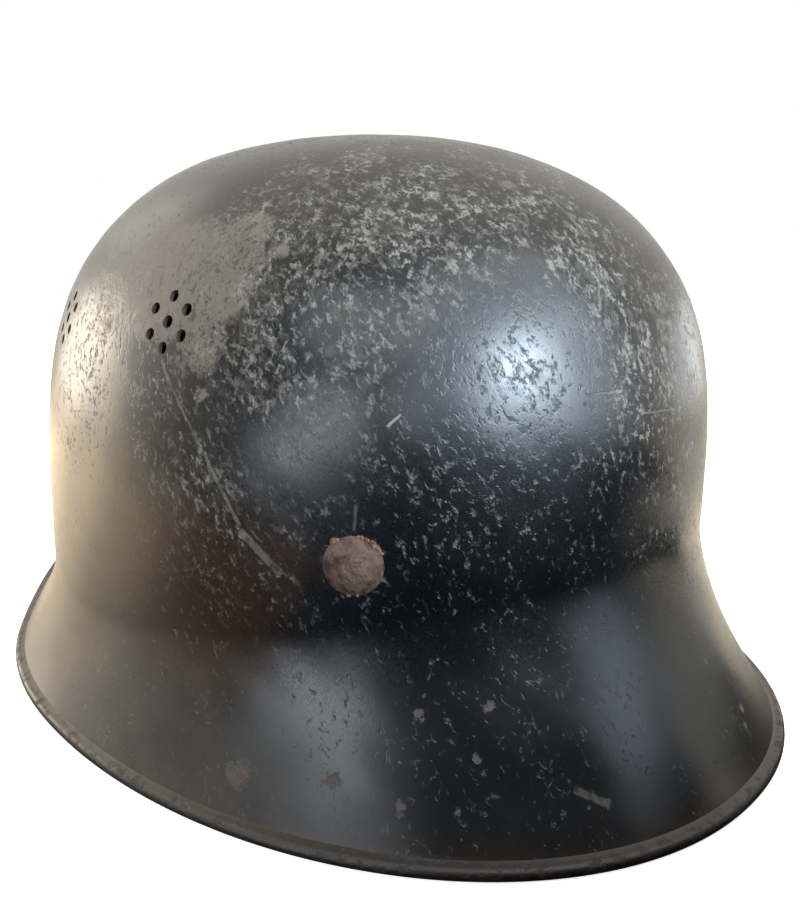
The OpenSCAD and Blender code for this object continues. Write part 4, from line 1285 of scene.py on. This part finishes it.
def stowed(points, side=1):
    s = strapShape
    c, d = math.cos(s["stow"]), math.sin(s["stow"])
    p = np.asarray(points, float)
    return np.stack([side * p[:, 0], p[:, 1] * c - p[:, 2] * d + middleY,
                     p[:, 1] * d + p[:, 2] * c + s["pivotHeight"]], -1)


def runs(line):
    steps = np.linalg.norm(np.diff(np.array(line), axis=0), axis=1)
    return np.concatenate([[0], np.cumsum(steps)])


def ribbon(name, line, widths, side, material, seed):
    s = strapShape
    line = np.array(line)
    ahead = np.gradient(line, axis=0)
    ahead /= np.linalg.norm(ahead, axis=1)[:, None]
    places = np.stack([line[:, 0], 0 * line[:, 0], line[:, 1]], -1)
    normals = np.stack([-ahead[:, 1], 0 * ahead[:, 0], ahead[:, 0]], -1)
    section = roundedSection(s["width"], s["thick"], s["edgeRadius"], 4)
    wave, period = s["edgeWave"]
    lengthwise = runs(line)
    points, over = [], []
    for i in range(len(line)):
        share = widths[i] / s["width"]
        for u, v in section:
            wide = u * share + wave * math.sin(lengthwise[i] / period + seed) * (v / s["thick"])
            points.append(places[i] + wide * np.array([0, 1.0, 0]) + v * normals[i])
            over.append(u / (s["width"] / 2))
    count = len(section)
    faces = gridFaces(len(line), count) + endFaces(count, len(points))
    thing = meshObject(name, stowed(points, side), faces, [material])
    addAttribute(thing, "over", over)
    tidyNormals(thing, 60)
    return thing


strapLook = {
    "ground": (0.060, 0.030, 0.015), "edge": (0.035, 0.020, 0.012),
    "patches": [((0.105, 0.056, 0.028), (0.10, 4.0, 0.6, 0.5), (0.35, 0.65)),
                ((0.17, 0.10, 0.055), (0.8, 5.0, 0.65), (0.58, 0.74))],
    "fine": (0.8, 5.0, 0.65), "rough": 0.38, "wrinkle": (0.35, 4.0, 0.6, 1.0),
    "groove": 0.80, "grooveDepth": -0.25,      # share of the half width, millimetres
}


def strapMaterial():
    look = strapLook
    material, place = newMaterial("strapLeather")
    over = abs(attribute(place, "over"))
    colour = mix(step(over, 0.93, 0.99), layered(place, look), look["edge"])
    groove = step(abs(over - look["groove"]), 0.015, 0.04, look["grooveDepth"], 0.0)
    pores = cells(place, 1.6)[0]
    return finish(material, colour, noise(place, *look["fine"]) * 0.3 + look["rough"],
                  groove + pores * 0.06 + noise(place, *look["wrinkle"]) * 0.18)


def alongAxes(l, side):
    x, z, h = strapLine(l)
    place = stowed([(x, 0, z)], side)[0]
    tip = stowed([(x + math.cos(h), 0, z - math.sin(h)), (x, 1, z)], side)
    out = Vector((tip[0] - place).tolist())
    sideways = Vector((tip[1] - place).tolist())
    return Vector(place.tolist()), (out, sideways, out.cross(sideways))


def makeStraps(material):
    s = strapShape
    half = s["thick"] / 2
    start = s["drop"] + s["lap"]
    bale = layer(start, -half, s["drop"], -half)
    bale += layer(s["drop"], -half, s["bar"], -s["foldMiddle"]) + foldPoints(s["bar"], 1, 180, 0)
    bale += layer(s["bar"], s["foldMiddle"], s["drop"], half)[1:]
    lap = s["buckleAt"] - s["taper"]
    line = bale + layer(s["drop"], half, lap, half)
    line += layer(lap, half, s["buckleAt"], s["foldMiddle"]) + foldPoints(s["buckleAt"], -1, 0, 180)
    line += layer(s["buckleAt"], -s["foldMiddle"], lap, -half)[1:] + layer(
        lap, -half, lap - s["lap"], -half)
    buckleHalf = ribbon("strap_buckle_side", line, [s["width"]] * len(line), 1, material, 0.7)
    place, (out, sideways, upward) = alongAxes(s["buckleAt"], 1)
    # the slot that the tongue comes out of
    points = [place + x * out + y * s["slotWidth"] / 2 * sideways + z * upward for x in (-8, 8)
              for y, z in ((-1, -5), (1, -5), (1, s["slotReach"]), (-1, s["slotReach"]))]
    faces = gridFaces(2, 4) + endFaces(4, len(points))
    cut(buckleHalf, joined("slotCutter", [(points, faces)], [material]))
    line = bale + layer(s["drop"], half, s["tipEnd"], half) + [strapPoint(s["tipEnd"], half)]
    # the tip narrows over what is left of the length
    widths = []
    for left in (runs(line)[-1] - runs(line)).tolist():
        rounding = s["tipRound"] * (float(soft(left / 2)) - 1)
        widths.append(2 * min(s["width"] / 2, s["tipHalf"] + s["tipSlope"] * left + rounding))
    tipHalf = ribbon("strap_tip_side", line, widths, -1, material, 2.1)
    seats = [(*alongAxes(s["tipEnd"] - s["holeFirst"] - i * s["holeStep"], -1), -4, 6)
             for i in range(s["holes"])]
    drill(tipHalf, seats, s["holeRadius"], s["holeSides"], material)
    for thing, body, node in ((buckleHalf, "left_strap", "strap_buckle_half"),
                              (tipHalf, "right_strap", "strap_tip_half")):
        tidyNormals(thing, 60)
        dress(thing, body, node)


def makeKeeper(material):
    s = strapShape
    place, (out, sideways, upward) = alongAxes(s["buckleAt"] - s["keeperPlace"], 1)
    width, thick = [inside + s["keeperWall"] for inside in s["keeperInside"]]
    loop = roundedSection(width, thick, s["keeperCorner"], s["keeperSteps"])
    places = [np.array(place + x * out + y * sideways) for x, y in loop]
    normals = [np.array(math.cos(t) * out + math.sin(t) * sideways)
               for cx, cy, t in cornerTurns(s["keeperSteps"])]
    sides = [np.array(upward)] * len(places)
    thing = sweep("keeper_loop", places, normals, sides, s["keeperWidth"], s["keeperWall"],
                  s["keeperEdge"], [material])
    addAttribute(thing, "over", [0.0] * len(thing.data.vertices))
    dress(thing, "keeper", "strap_keeper")


strapLeather = strapMaterial()
makeStraps(strapLeather)
makeKeeper(strapLeather)
print("chin strap made")

scene.view_settings.view_transform = "Standard"
